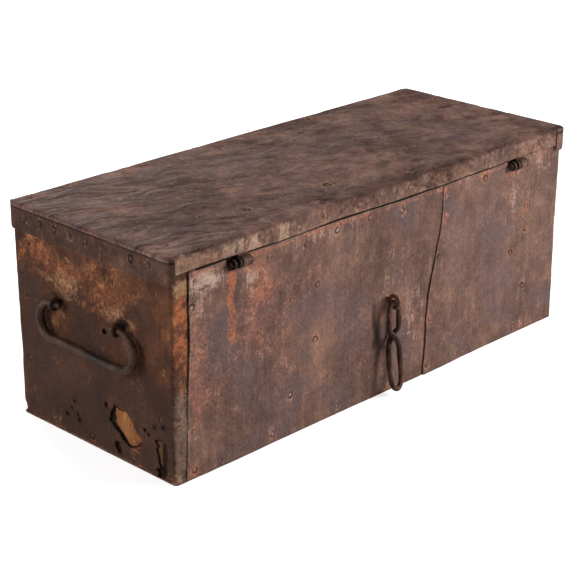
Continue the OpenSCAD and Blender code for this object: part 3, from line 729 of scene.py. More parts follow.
class Shader(Nodes):
    """A material's nodes, round one Principled shader."""

    def __init__(self, name: str) -> None:
        """Starts a material with a Principled shader and its output.

        Args:
            name: What the material is called.
        """
        self.material = bpy.data.materials.new(name)
        self.material.use_nodes = True
        super().__init__(self.material.node_tree)
        self.surface = self.node("ShaderNodeBsdfPrincipled")
        self.node("ShaderNodeOutputMaterial", {}, {"Surface": self.surface.outputs[0]})
        self.where = self.node("ShaderNodeTexCoord").outputs["Object"]

    def stretched(self, scale: Sequence[float], turn: float = 0.0) -> bpy.types.NodeSocket:
        """Object coordinates turned back in plan, then scaled along each axis.

        Args:
            scale: How far the pattern is drawn out along each axis.
            turn: Angle in plan, in radians.

        Returns:
            The coordinates.
        """
        size = tuple(1 / k for k in scale)
        sockets = {"Vector": self.where, "Rotation": (0.0, 0.0, turn), "Scale": size}
        return self.node("ShaderNodeMapping", {"vector_type": "TEXTURE"}, sockets).outputs[0]

    def noise(
        self, scale: float, detail: float, rough: float,
        where: bpy.types.NodeSocket | None = None, warp: float = 0.0,
    ) -> Number:
        """Noise over the object's own coordinates.

        Args:
            scale: Features for each metre.
            detail: How many finer layers are added.
            rough: Strength of the finer layers.
            where: Coordinates to use instead of the plain ones.
            warp: Distortion.

        Returns:
            Values from about 0.2 to 0.8.
        """
        made = self.node("ShaderNodeTexNoise", {"noise_dimensions": "3D"}, {
            "Vector": where or self.where, "Scale": scale, "Detail": detail, "Roughness": rough,
            "Distortion": warp,
        })
        return Number(self, made.outputs[0])

    def tone(self, tone: Tone) -> Number:
        """The strength of one tone, painted on the mesh."""
        made = self.node("ShaderNodeAttribute", {"attribute_name": tone.value})
        return Number(self, made.outputs["Fac"])

    def mix(
        self, factor: "Number | float", a: "bpy.types.NodeSocket | Colour | str",
        b: "bpy.types.NodeSocket | Colour | str", blend: str = "MIX",
    ) -> bpy.types.NodeSocket:
        """Mixes two colours.

        Args:
            factor: Share of the second.
            a: First colour.
            b: Second colour.
            blend: How they are blended.

        Returns:
            The mixed colour's socket.
        """
        settings = {"data_type": "RGBA", "blend_type": blend}
        return self.node("ShaderNodeMix", settings, {0: factor, 6: a, 7: b}).outputs[2]

    def ramp(
        self, value: Number, stops: Sequence[tuple[float, Colour | str]]
    ) -> bpy.types.NodeSocket:
        """Turns a value into a colour.

        Args:
            value: The value.
            stops: Places from 0 to 1 with their colours.

        Returns:
            The colour's socket.
        """
        made = self.node("ShaderNodeValToRGB", {}, {"Fac": value})
        elements = made.color_ramp.elements
        while len(elements) < len(stops):
            elements.new(0.5)
        for element, (place, colour) in zip(elements, stops, strict=True):
            element.position = place
            element.color = (*linear(colour), 1.0)
        return made.outputs[0]

    def bump(self, height: Number, depth: float, strength: float) -> bpy.types.NodeSocket:
        """Fine relief from a height.

        Args:
            height: Heights from 0 to 1.
            depth: Depth of a whole unit, in metres.
            strength: Share of the effect.

        Returns:
            The bent normal's socket.
        """
        made = self.node(
            "ShaderNodeBump", {}, {"Strength": strength, "Distance": depth, "Height": height}
        )
        return made.outputs[0]

    def finish(self, **sockets: object) -> bpy.types.Material:
        """Links the Principled shader's inputs.

        Args:
            sockets: Values or links by input name, with underscores for spaces.

        Returns:
            The finished material.
        """
        for key, value in sockets.items():
            self.feed(self.surface.inputs[key.replace("_", " ")], value)
        return self.material


# Fine brushing, upright on the sides: how much finer the noise is along each axis
BRUSHING = (7.0, 7.0, 0.5)


@dataclass(frozen=True)
class Patina:
    """Sheet iron under a brown skin, with clouds, rust and pale bloom where it is painted, and
    painted shade and highlights.
    """

    name: str
    dark: str = "5a4139"
    middle: str = "76584c"
    light: str = "957060"
    slate: str = "665556"
    tan: str = "9c7560"
    rust: tuple[str, str, str] = ("734537", "a0664e", "c28e72")
    run: str = "a9581f"
    pale: str = "b89a84"
    soot: str = "1a1210"
    worn: str = "8c7a70"
    ash: str = "6b5654"
    streak: tuple[float, float, float] = (1.0, 1.0, 1.0)
    streak_share: float = 0.4
    slate_share: float = 0.6
    tan_share: float = 0.35
    rust_share: float = 0.0
    speck_share: float = 0.5
    contrast: float = 1.0
    brushing: float = 0.5
    rough: float = 0.7
    shine: float = 0.15
    pits: float = 0.001
    fold: tuple[float, float, float] = (1.0, 1.0, 1.0)
    fold_turn: float = 0.0
    swell: float = 0.0
    crease: float = 0.0

    def material(self) -> bpy.types.Material:
        """Builds the material.

        Returns:
            The finished material.
        """
        s = Shader(self.name)
        cloud = s.noise(16, 6, 0.62, warp=0.6)
        mottle = s.noise(70, 6, 0.66, warp=0.3)
        grain = s.noise(290, 5, 0.74)
        speck = s.noise(760, 3, 0.65)
        streak = s.noise(26, 6, 0.62, where=s.stretched(self.streak), warp=0.2)
        brushed = s.noise(42, 5, 0.66, where=s.stretched(BRUSHING), warp=0.15)
        body = cloud * (1 - self.streak_share) + streak * self.streak_share
        body = body * 0.58 + mottle * 0.27 + (brushed - 0.5) * (0.3 * self.brushing) + 0.075
        body = (body - 0.5) * (1.12 * self.contrast) + 0.5
        colour = s.ramp(body, [(0.38, self.dark), (0.5, self.middle), (0.62, self.light)])
        slate = s.noise(19, 5, 0.58, where=s.stretched((1.0, 1.3, 0.8)), warp=0.9).step(0.48, 0.66)
        colour = s.mix(slate * self.slate_share, colour, self.slate)
        tan = (s.noise(33, 6, 0.68, warp=0.7) * 0.75 + grain * 0.25).step(0.52, 0.68)
        colour = s.mix(tan * self.tan_share, colour, self.tan)
        ash = (s.tone(Tone.ASH) * (0.75 + (mottle - 0.5) * 1.5)).clamped()
        colour = s.mix(ash, colour, self.ash)
        pale = s.tone(Tone.PALE) + (mottle - 0.5) * 1.3 + (grain - 0.5) * 1.7
        pale = pale + (brushed - 0.5) * (2.4 * self.brushing)
        colour = s.mix(pale.step(0.25, 1.1) * 0.75, colour, self.pale)
        rusty = s.tone(Tone.RUST) + self.rust_share + (grain - 0.5) * 0.6 + (mottle - 0.5) * 1.0
        rusty = rusty + (brushed - 0.5) * (0.9 * self.brushing)
        hue = s.ramp(
            grain * 0.35 + mottle * 0.45 + speck * 0.2,
            list(zip((0.4, 0.5, 0.62), self.rust, strict=True)),
        )
        red = rusty.step(0.15, 1.2)
        colour = s.mix(red * 0.85, colour, hue)
        run = (s.tone(Tone.RUST) + (mottle - 0.5) * 1.2 + (grain - 0.5) * 0.8).step(0.86, 1.3)
        colour = s.mix(run * 0.8, colour, self.run)
        flecks = s.noise(190, 6, 0.78, warp=0.5).step(0.6, 0.7)
        colour = s.mix(flecks * self.speck_share, colour, self.rust[1])
        # Darkens with soot and with painted shade
        black = (s.tone(Tone.SOOT) + (grain - 0.5) * 0.9).step(0.2, 0.95)
        colour = s.mix(black * 0.9, colour, self.soot)
        # Lightens with wear and with painted highlights
        rubbed = (s.tone(Tone.WORN) + (grain - 0.5) * 0.7 + (mottle - 0.5) * 0.8).step(0.35, 1.1)
        colour = s.mix(rubbed * 0.5, colour, self.worn)
        low, high = 1 - 0.42 * self.contrast, 1 + 0.38 * self.contrast
        shade = s.ramp(
            speck * 0.45 + grain * 0.55,
            [(0.36, (low, low, low)), (0.5, (1.0, 1.0, 1.0)), (0.66, (high, high, high))],
        )
        colour = s.mix(0.85, colour, shade, "MULTIPLY")
        slow = s.noise(24, 3, 0.5, where=s.stretched(self.fold, self.fold_turn), warp=0.7)
        folds = 1 - (slow * 2 - 1).size() * 2
        # Painted shade: thin dark lines along the crests of the folds
        colour = s.mix(folds.step(0.72, 1.0) * self.crease, colour, self.dark)
        height = speck * 0.4 + grain * 0.9 + mottle * 0.8 + folds * self.swell
        return s.finish(
            Base_Color=colour,
            Roughness=(self.rough + (mottle - 0.5) * 0.5 + red * 0.12).clamped(),
            Metallic=0.0,
            Specular_IOR_Level=self.shine,
            Normal=s.bump(height, self.pits, 0.8),
        )


@dataclass(frozen=True)
class Board:
    """Bare sawn board, tan where it is fresh, and near black in the skin by its outer faces, which
    shows through gaps and holes: iron stain and painted shade.
    """

    name: str
    along: tuple[float, float, float]
    skin_x: float = 1.0
    skin_y: float = 1.0
    bare_spots: tuple[tuple[float, float, float, float], ...] = ()
    fresh: str = "ac7a54"
    aged: str = "926241"
    grain: str = "73452d"
    stained: str = "0e0907"

    def material(self) -> bpy.types.Material:
        """Builds the material.

        Returns:
            The finished material.
        """
        s = Shader(self.name)
        where = s.stretched(self.along)
        rings = s.noise(1.0, 6, 0.6, where=where, warp=0.6)
        fibre = s.noise(5.0, 4, 0.7, where=where)
        cloud = s.noise(18, 4, 0.6)
        colour = s.ramp(
            rings * 0.65 + fibre * 0.35,
            [(0.38, self.grain), (0.5, self.aged), (0.62, self.fresh)],
        )
        colour = s.mix((cloud.step(0.5, 0.75)) * 0.35, colour, self.grain)
        parts = s.node("ShaderNodeSeparateXYZ", {}, {0: s.where}).outputs
        x, y, z = (Number(s, part) for part in parts)
        # Painted shade with iron stain: near black within a few millimetres of the outer faces,
        # where the board shows only in gaps and holes
        outer = (x.size() - self.skin_x).step(-0.006, -0.005)
        outer = outer + (y.size() - self.skin_y).step(-0.006, -0.005)
        for spot_y, spot_z, reach, share in self.bare_spots:
            away = (y - spot_y) * (y - spot_y) + (z - spot_z) * (z - spot_z)
            outer = outer - (1 - away.step(0.7 * reach**2, reach**2)) * share
        colour = s.mix(outer.clamped() * 0.95, colour, self.stained)
        return s.finish(
            Base_Color=colour,
            Roughness=0.82,
            Specular_IOR_Level=0.12,
            Normal=s.bump(rings * 0.4 + fibre * 0.6, 0.0006, 0.6),
        )


def dress(piece: bpy.types.Object, material: bpy.types.Material) -> None:
    """Gives a piece one material, in place of any that it had."""
    piece.data.materials.clear()
    piece.data.materials.append(material)


# What each finish is

# Where an end board's dark skin of iron stain and painted shade has worn off: Y, Z, reach in
# metres, and how much of it
BARE_SPOTS = ((-0.0945, 0.026, 0.014, 0.35),)


class Finishes:
    """The materials of the box, each made once."""

    def __init__(self) -> None:
        """Builds every material."""
        self.side = Patina(
            "side_iron", streak=(2.2, 2.2, 0.6), streak_share=0.3, brushing=0.55, speck_share=0.25,
            rust=("7f4d3e", "a86a54", "c68f76"), pale="cbae9d", ash="6c5759",
        ).material()
        self.top = Patina(
            "top_iron", streak=(0.7, 1.4, 1.0), fold=(0.6, 1.4, 1.0), fold_turn=-0.35,
            dark="47312a", middle="6c4f46", light="8f6c5f", slate="594648", tan="80604f",
            pale="c0a189", rust=("5f3a2d", "91604a", "bb8a6c"), worn="9c7c6b", ash="675456",
            rough=0.64, shine=0.07, contrast=1.15, brushing=0.35, streak_share=0.15,
            rust_share=-0.1, slate_share=0.4, tan_share=0.2, speck_share=0.2, pits=0.0016,
            swell=5.0, crease=0.28,
        ).material()
        # The end iron is darker than the side iron that the right end sheet wears: painted shade
        # for the left end face, on top of its own rust colours
        self.end = Patina(
            "end_iron", streak=(1.6, 1.6, 0.7), dark="341f17", middle="503122", light="714832",
            slate="3c2c2b", tan="6e4835", rust=("633827", "91573a", "b57c57"), pale="b08b68",
            run="b0603a", worn="9a7d6e", ash="402f2c", rough=0.72, shine=0.12, streak_share=0.25,
            slate_share=0.5, tan_share=0.25, speck_share=0.12, brushing=0.25,
        ).material()
        self.band = Patina(
            "band_iron", streak=(1.0, 0.5, 2.0), dark="33231d", middle="4c342a", light="684a3d",
            slate="423233", tan="64493d", rust=("4b2e24", "6f4636", "8f6450"), worn="7c675d",
            rust_share=-0.2, rough=0.66, shine=0.09, streak_share=0.3, slate_share=0.4,
            speck_share=0.2,
        ).material()
        self.forged = Patina(
            "forged_iron", dark="36271f", middle="583e30", light="7d5a44", slate="4b3b34",
            tan="795742", rust=("5f3b2b", "8f5d45", "b98a6a"), rust_share=-0.05, rough=0.5,
            shine=0.22, pits=0.0007, speck_share=0.25,
        ).material()
        self.dark_forged = Patina(
            "dark_forged_iron", dark="231812", middle="3d2a20", light="5d4333", slate="2f2523",
            tan="4f3a2f", rust=("3d251b", "613b29", "83583f"), rust_share=-0.1, rough=0.4,
            shine=0.17, pits=0.0007, speck_share=0.2,
        ).material()
        self.link = Patina(
            "link_iron", dark="1a110c", middle="3c291f", light="765141", slate="3a2a27",
            tan="5a4132", rust=("58341f", "925831", "ba8763"), rust_share=-0.02, rough=0.45,
            shine=0.13, contrast=1.2, pits=0.0007, speck_share=0.3,
        ).material()
        self.nail = Patina(
            "nail_iron", dark="523a31", middle="72544a", light="987362", slate="605052",
            rust_share=0.1, rough=0.6, shine=0.2, pits=0.0006,
        ).material()
        self.board_long = Board(
            "board_along_x", (6.0, 110.0, 110.0), skin_x=0.2783, skin_y=0.10955
        ).material()
        self.board_end = Board(
            "board_along_y", (110.0, 6.0, 110.0), skin_x=0.2783, bare_spots=BARE_SPOTS
        ).material()
        self.splinter = Board(
            "torn_wood", (60.0, 60.0, 14.0), fresh="bb8558", aged="9f6b42", grain="744527"
        ).material()


# Nails


def islands(piece: bpy.types.Object) -> list[Array]:
    """Splits a mesh into its separate solids.

    Args:
        piece: A CAD node whose mesh holds several solids.

    Returns:
        The corner positions of each solid.
    """
    mesh = piece.data
    places = np.zeros(len(mesh.vertices) * 3)
    mesh.vertices.foreach_get("co", places)
    places = places.reshape(-1, 3)
    _, same = np.unique(np.round(places, 6), axis=0, return_inverse=True)
    same = same.ravel()
    corners = np.zeros(len(mesh.loops), np.int64)
    mesh.loops.foreach_get("vertex_index", corners)
    corners = same[corners].reshape(-1, 3)
    label = np.arange(same.max() + 1)
    while True:
        low = label[corners].min(1)
        fresh = label.copy()
        for k in range(3):
            np.minimum.at(fresh, corners[:, k], low)
        if (fresh == label).all():
            break
        label = fresh
    owner = label[same]
    return [places[owner == one] for one in np.unique(owner)]


@dataclass(frozen=True)
class NailRow:
    """The nails of one CAD node that go into one face."""

    node: str
    outward: tuple[float, float, float]
    head: float = 0.0012

    def places(self, frame: dict) -> Array:
        """Where each head meets the flat sheet.


        Returns:
            One point for each nail that goes into this face.
        """
        out = np.array(self.outward)
        along = int(np.argmax(np.abs(out)))
        found = []
        for solid in islands(frame["nodes"][self.node]):
            low, high = solid.min(0), solid.max(0)
            middle = (low + high) / 2
            if out[along] * middle[along] < 0:
                continue
            middle[along] = (high if out[along] > 0 else low)[along] - out[along] * self.head
            found.append(middle)
        return np.array(found)


# The ways that the nails of each CAD node face
NAIL_WAYS = {
    "hinge_side_nails": [(0, -1, 0)], "lock_side_nails": [(0, 1, 0)],
    "end_nails_left": [(-1, 0, 0)], "end_nails_right": [(1, 0, 0)],
    "lid_top_nails": [(0, 0, 1)], "lid_rim_nails": [(0, -1, 0), (0, 1, 0)],
    "lid_band_nails_left": [(-1, 0, 0)], "lid_band_nails_right": [(1, 0, 0)],
    "hasp_leaf_nails": [(0, 1, 0)],
}


def nails_of(frame: dict, node: str) -> Array:
    """Where the heads of one CAD node's nails meet their sheets."""
    return np.concatenate([NailRow(node, way).places(frame) for way in NAIL_WAYS[node]])


@dataclass(frozen=True)
class HeadLook:
    """Size, wear, finish and rust of the nail heads of one row."""

    finish: bpy.types.Material
    rust: float = 0.3
    pale: float = 0.45
    radius: float = 0.0024
    height: float = 0.0009
    wear: float = 0.0007


class NailTree(Nodes):
    """Geometry Nodes that set one worn nail head on each point."""

    def __init__(self) -> None:
        """Builds the tree."""
        super().__init__(bpy.data.node_groups.new("nail_heads", "GeometryNodeTree"))
        face = self.tree.interface
        kinds = {
            "Geometry": "Geometry", "Head radius": "Float", "Head height": "Float",
            "Wear depth": "Float", "Seed": "Int", "Finish": "Material",
        }
        self.inputs = {
            name: face.new_socket(
                name, in_out="INPUT", socket_type="NodeSocket" + kind
            ).identifier
            for name, kind in kinds.items()
        }
        face.new_socket("Geometry", in_out="OUTPUT", socket_type="NodeSocketGeometry")
        start = self.node("NodeGroupInput")
        ball = self.node(
            "GeometryNodeMeshUVSphere", {}, {"Segments": 14, "Rings": 10, "Radius": 1.0}
        )
        size = self.node(
            "ShaderNodeCombineXYZ",
            {},
            {"X": start.outputs["Head radius"], "Y": start.outputs["Head radius"],
             "Z": start.outputs["Head height"]},
        )
        shaped = self.node(
            "GeometryNodeTransform", {}, {"Geometry": ball.outputs[0], "Scale": size.outputs[0]}
        )
        facing = self.node("GeometryNodeInputNamedAttribute", {"data_type": "FLOAT_VECTOR"},
                          {"Name": "outward"})
        aim = self.node("FunctionNodeAlignRotationToVector", {"axis": "Z"},
                       {"Vector": facing.outputs[0]})
        turn = self.node(
            "FunctionNodeRandomValue", {"data_type": "FLOAT_VECTOR"},
            {"Min": (-0.09, -0.09, 0.0), "Max": (0.09, 0.09, 6.28), "Seed": start.outputs["Seed"]},
        )
        spin = self.node("FunctionNodeEulerToRotation", {}, {"Euler": turn.outputs[0]})
        whole = self.node("FunctionNodeRotateRotation", {"rotation_space": "LOCAL"},
                         {"Rotation": aim.outputs[0], "Rotate By": spin.outputs[0]})
        scale = self.node(
            "FunctionNodeRandomValue", {"data_type": "FLOAT_VECTOR"},
            {"Min": (0.86, 0.78, 0.75), "Max": (1.12, 1.05, 1.0), "Seed": start.outputs["Seed"]},
        )
        heads = self.node(
            "GeometryNodeInstanceOnPoints", {},
            {"Points": start.outputs[0], "Instance": shaped.outputs[0],
             "Rotation": whole.outputs[0], "Scale": scale.outputs[0]},
        )
        real = self.node("GeometryNodeRealizeInstances", {}, {"Geometry": heads.outputs[0]})
        noise = self.node("ShaderNodeTexNoise", {}, {"Scale": 420.0, "Detail": 2.0})
        centred = self.node("ShaderNodeVectorMath", {"operation": "SUBTRACT"},
                           {0: noise.outputs["Color"], 1: (0.5, 0.5, 0.5)})
        worn = self.node("ShaderNodeVectorMath", {"operation": "SCALE"},
                        {0: centred.outputs[0], "Scale": start.outputs["Wear depth"]})
        moved = self.node("GeometryNodeSetPosition", {},
                         {"Geometry": real.outputs[0], "Offset": worn.outputs[0]})
        smooth = self.node("GeometryNodeSetShadeSmooth", {}, {0: moved.outputs[0]})
        skin = self.node("GeometryNodeSetMaterial", {},
                        {"Geometry": smooth.outputs[0], "Material": start.outputs["Finish"]})
        self.node("NodeGroupOutput", {}, {0: skin.outputs[0]})

    def heads(
        self, name: str, places: Array, outward: Array, look: "HeadLook", seed: int
    ) -> bpy.types.Object:
        """Sets heads on points and turns them into a plain mesh.

        Args:
            name: Name of the piece.
            places: One point for each head.
            outward: The direction that each head faces.
            look: Size and finish of the heads.
            seed: Number that picks the turns and sizes.

        Returns:
            The piece, a plain mesh.
        """
        mesh = bpy.data.meshes.new(name + "_points")
        mesh.from_pydata(places.tolist(), [], [])
        layer = mesh.attributes.new("outward", "FLOAT_VECTOR", "POINT")
        layer.data.foreach_set("vector", outward.astype(np.float32).ravel())
        carrier = bpy.data.objects.new(name + "_points", mesh)
        bpy.context.scene.collection.objects.link(carrier)
        modifier = carrier.modifiers.new("heads", "NODES")
        modifier.node_group = self.tree
        values = {
            "Head radius": look.radius, "Head height": look.height, "Wear depth": look.wear,
            "Seed": seed, "Finish": look.finish,
        }
        for key, value in values.items():
            modifier[self.inputs[key]] = value
        graph = bpy.context.evaluated_depsgraph_get()
        made = bpy.data.meshes.new_from_object(carrier.evaluated_get(graph))
        bpy.data.objects.remove(carrier)
        piece = bpy.data.objects.new(name, made)
        piece.data.name = name
        bpy.context.scene.collection.objects.link(piece)
        co = np.zeros(len(made.vertices) * 3)
        made.vertices.foreach_get("co", co)
        co = co.reshape(-1, 3)
        away = np.full(len(co), 1.0)
        for place in places:
            away = np.minimum(away, np.linalg.norm(co - place, axis=1))
        rim = ease(away, 0.6 * look.radius, look.radius)
        patches = fractal(co, 0.03, 97 + seed, 2)
        # The rim of each head is painted darker and its crown lighter: painted shade and highlight
        # on the dome, the crown also worn
        store_tones(made, {
            Tone.RUST: look.rust + 0.4 * patches,
            Tone.PALE: look.pale * (1 - rim) - 0.4 * patches,
            Tone.SOOT: 0.6 * rim,
            Tone.WORN: 0.6 * (1 - rim),
        })
        return piece


# How sheets depart from flat


@dataclass(frozen=True)
class Hammering:
    """Slow waves, hammer marks and dimples at the nails, as heights above the flat sheet."""

    seed: int
    wave: float = 0.0006
    wave_size: float = 0.09
    mark: float = 0.0003
    mark_size: float = 0.022
    dimple: float = 0.0009
    dimple_reach: float = 0.0052
    stretch: tuple[float, float, float] = (1.0, 1.0, 1.0)
    turn: float = 0.0
    low: float = -0.0009
    high: float = 0.0011

    def at(self, points: Array, nails: Array) -> Array:
        """Height at each point.

        Args:
            points: Points on the flat sheet.
            nails: Places of the nails in it.

        Returns:
            Heights in metres.
        """
        cos, sin = math.cos(self.turn), math.sin(self.turn)
        x, y, z = points.T
        turned_back = np.stack([x * cos + y * sin, y * cos - x * sin, z], 1)
        height = self.wave * fractal(turned_back, self.wave_size, self.seed, 2, self.stretch)
        marks = fractal(turned_back, self.mark_size, self.seed + 5, 3, self.stretch)
        height += self.mark * (1.0 - 2.0 * np.abs(marks))
        for nail in nails:
            away = ((points - nail) ** 2).sum(1)
            near = away < (4 * self.dimple_reach) ** 2
            height[near] -= self.dimple * np.exp(-away[near] / self.dimple_reach**2)
        return np.clip(height, self.low, self.high)


def add_nail_marks(
    tones: dict[Tone, Array], points: Array, nails: Array, seed: int, rust: float = 0.75,
    size: float = 1.0,
) -> None:
    """Adds a dark ring of painted shade and a halo of rust or pale bloom round each nail.

    Args:
        tones: Strength of each tone at each point, which is added to.
        points: Points of the surface.
        nails: Places of the nails.
        seed: Number that picks which nails rust most.
        rust: Strength of the strongest halo.
        size: Size of the marks against the usual one.
    """
    rng = np.random.default_rng(seed)
    ring_at, ring_width, halo_reach, wobble = (
        size * length for length in (0.0036, 0.0016, 0.008, 0.0009)
    )
    shift = wobble * fractal(points, 0.005, seed + 3, 2)
    broken = 0.75 + 0.9 * fractal(points, 0.006, seed + 4, 1)
    for nail in nails:
        power, pale, dark = rng.uniform(0.2, 1.3) * rust, rng.uniform(0, 0.7), rng.uniform(0.7, 1.4)
        away = np.sqrt(((points - nail) ** 2).sum(1)) + shift
        halo = np.exp(-((away / halo_reach) ** 2))
        bright = broken * np.exp(-(((away - 1.25 * ring_at) / ring_width) ** 2))
        red = power * np.maximum(0.75 * halo, 1.1 * bright)
        tones[Tone.RUST] = np.maximum(tones[Tone.RUST], red)
        tones[Tone.PALE] = np.maximum(tones[Tone.PALE], pale * np.maximum(0.5 * halo, bright))
        # Painted shade: a dark ring just outside the raised head
        ring = 0.6 * dark * broken * np.exp(-(((away - 0.8 * ring_at) / ring_width) ** 2))
        tones[Tone.SOOT] = np.maximum(tones[Tone.SOOT], ring)


def painted(
    points: Array, stains: Sequence[Stain], seed: int, ripple: float = 0.006
) -> dict[Tone, Array]:
    """Adds up stains, with wandering edges.

    Args:
        points: Points of the surface.
        stains: The stains.
        seed: Number that picks the wandering.
        ripple: How far an edge wanders, in metres.

    Returns:
        Strength of each tone at each point.
    """
    shift = np.stack([fractal(points, 0.02, seed + k, 3) for k in range(3)], 1)
    moved = points + ripple * shift
    tones = {tone: np.zeros(len(points)) for tone in Tone}
    for stain in stains:
        tones[stain.tone] += stain.weight(moved)
    return tones


# The clad sides


def seam_height(x: Array) -> Array:
    """Height of the wandering seam between lid and case along the hinge side.

    Args:
        x: Places along the side.

    Returns:
        The heights.
    """
    along = np.array([
        -277, -225, -202, -180, -150, -108, -50, 17, 70, 117, 160, 180, 202, 225, 250, 277,
    ])
    above = np.array([
        200.3, 200.2, 200.3, 200.2, 199.6, 200.2, 200.1, 198.9, 198.6, 199.7, 199.4, 200.2, 200.3,
        200.2, 198.6, 198.2,
    ])
    wave = 0.0002 * fractal(placed(x, 0, 0), 0.03, 90, 2)
    return np.interp(x, along / 1000, above / 1000) + wave


def seam_gap(x: Array) -> Array:
    """How far the rim stands above that seam, from place to place."""
    wide = np.exp(-(((x + 0.25) / 0.03) ** 2)) + 0.8 * np.exp(-(((x - 0.045) / 0.04) ** 2))
    return 0.0013 + 0.0008 * wide + 0.0006 * fractal(placed(x, 0, 0), 0.06, 94, 2)


def stains(
    axis: int, plane: float, rows: dict[Tone, Sequence[Sequence[float]]], depth: float = 1000.0
) -> list[Stain]:
    """Stains on one plane, all in millimetres.

    Args:
        axis: The axis that the plane is square to, from 0 to 2.
        plane: Its place on that axis.
        rows: Two places, two reaches and a strength for each stain, by tone.
        depth: Reach of the stains away from the plane.

    Returns:
        The stains, in metres.
    """
    made = []
    for tone, patches in rows.items():
        for *places, strength in patches:
            across, reaches = np.array(places, float).reshape(2, 2)
            middle = np.insert(across, axis, plane) / 1000
            reach = np.insert(reaches, axis, depth) / 1000
            made.append(Stain(tone, tuple(middle), tuple(reach), strength))
    return made


HINGE_SIDE_STAINS = stains(1, -1000 * BOX.half_depth, {
    Tone.RUST: [
        (-210.5, 161, 4.8, 30, 2.1), (-209.5, 134, 3.6, 16, 1.3), (-248, 140, 12, 50, 0.45),
        (-230, 90, 30, 50, 0.35), (-181, 181, 17, 9, 0.8), (-168, 160, 16, 16, 0.75),
        (-185, 130, 22, 35, 0.5), (-250, 70, 12, 30, 0.4), (-150, 100, 30, 35, 0.4),
        (-120, 150, 30, 30, 0.35), (-100, 60, 40, 20, 0.3), (4, 105, 8, 6, 0.7),
        (-30, 60, 8, 20, 0.4), (40, 60, 20, 30, 0.35), (187, 172, 12, 20, 0.4),
        (203, 187, 20, 5, 0.4), (120, 30, 50, 14, 0.3),
    ],
    Tone.ASH: [
        (-226, 120, 10, 30, 0.35), (-105, 125, 30, 22, 0.75), (-175, 140, 18, 20, 0.6),
        (-195, 178, 9, 8, 0.8), (-160, 40, 30, 20, 0.5), (-50, 90, 20, 40, 0.5),
        (110, 130, 20, 50, 0.5), (170, 90, 30, 50, 0.5),
    ],
    Tone.PALE: [
        (-248, 190, 14, 10, 1.2), (-232, 183, 14, 10, 1), (-250, 165, 8, 20, 0.6),
        (-184, 176, 8, 10, 1.1), (-80, 190, 60, 8, 0.4), (-2, 121, 20, 20, 0.38),
        (35, 75, 18, 40, 0.4), (199, 165, 9, 35, 0.36),
    ],
    Tone.SOOT: [
        # Painted shadows: the first is the link's shadow on the sheet to its left, the second the
        # shade at the right end of the left hinge's knuckle
        (-13, 70, 6, 35, 0.8), (-186, 183, 6, 8, 0.4),
    ],
})
LOCK_SIDE_STAINS = stains(1, 1000 * BOX.half_depth, {
    Tone.RUST: [
        (0, 145, 12, 30, 0.6), (-210, 50, 30, 30, 0.45), (180, 120, 30, 50, 0.35),
    ],
    Tone.SOOT: [
        (0, 170, 20, 30, 0.5),
    ],
    Tone.PALE: [
        (-120, 120, 40, 30, 0.35), (170, 170, 30, 20, 0.4),
    ],
})


def edge_lean(z: Array) -> Array:
    """How far the left edge of the hinge side's sheet leans out at each height."""
    return np.interp(z, [0, 0.079, 0.138, 0.2], [0.0074, 0.0041, 0.0012, 0])


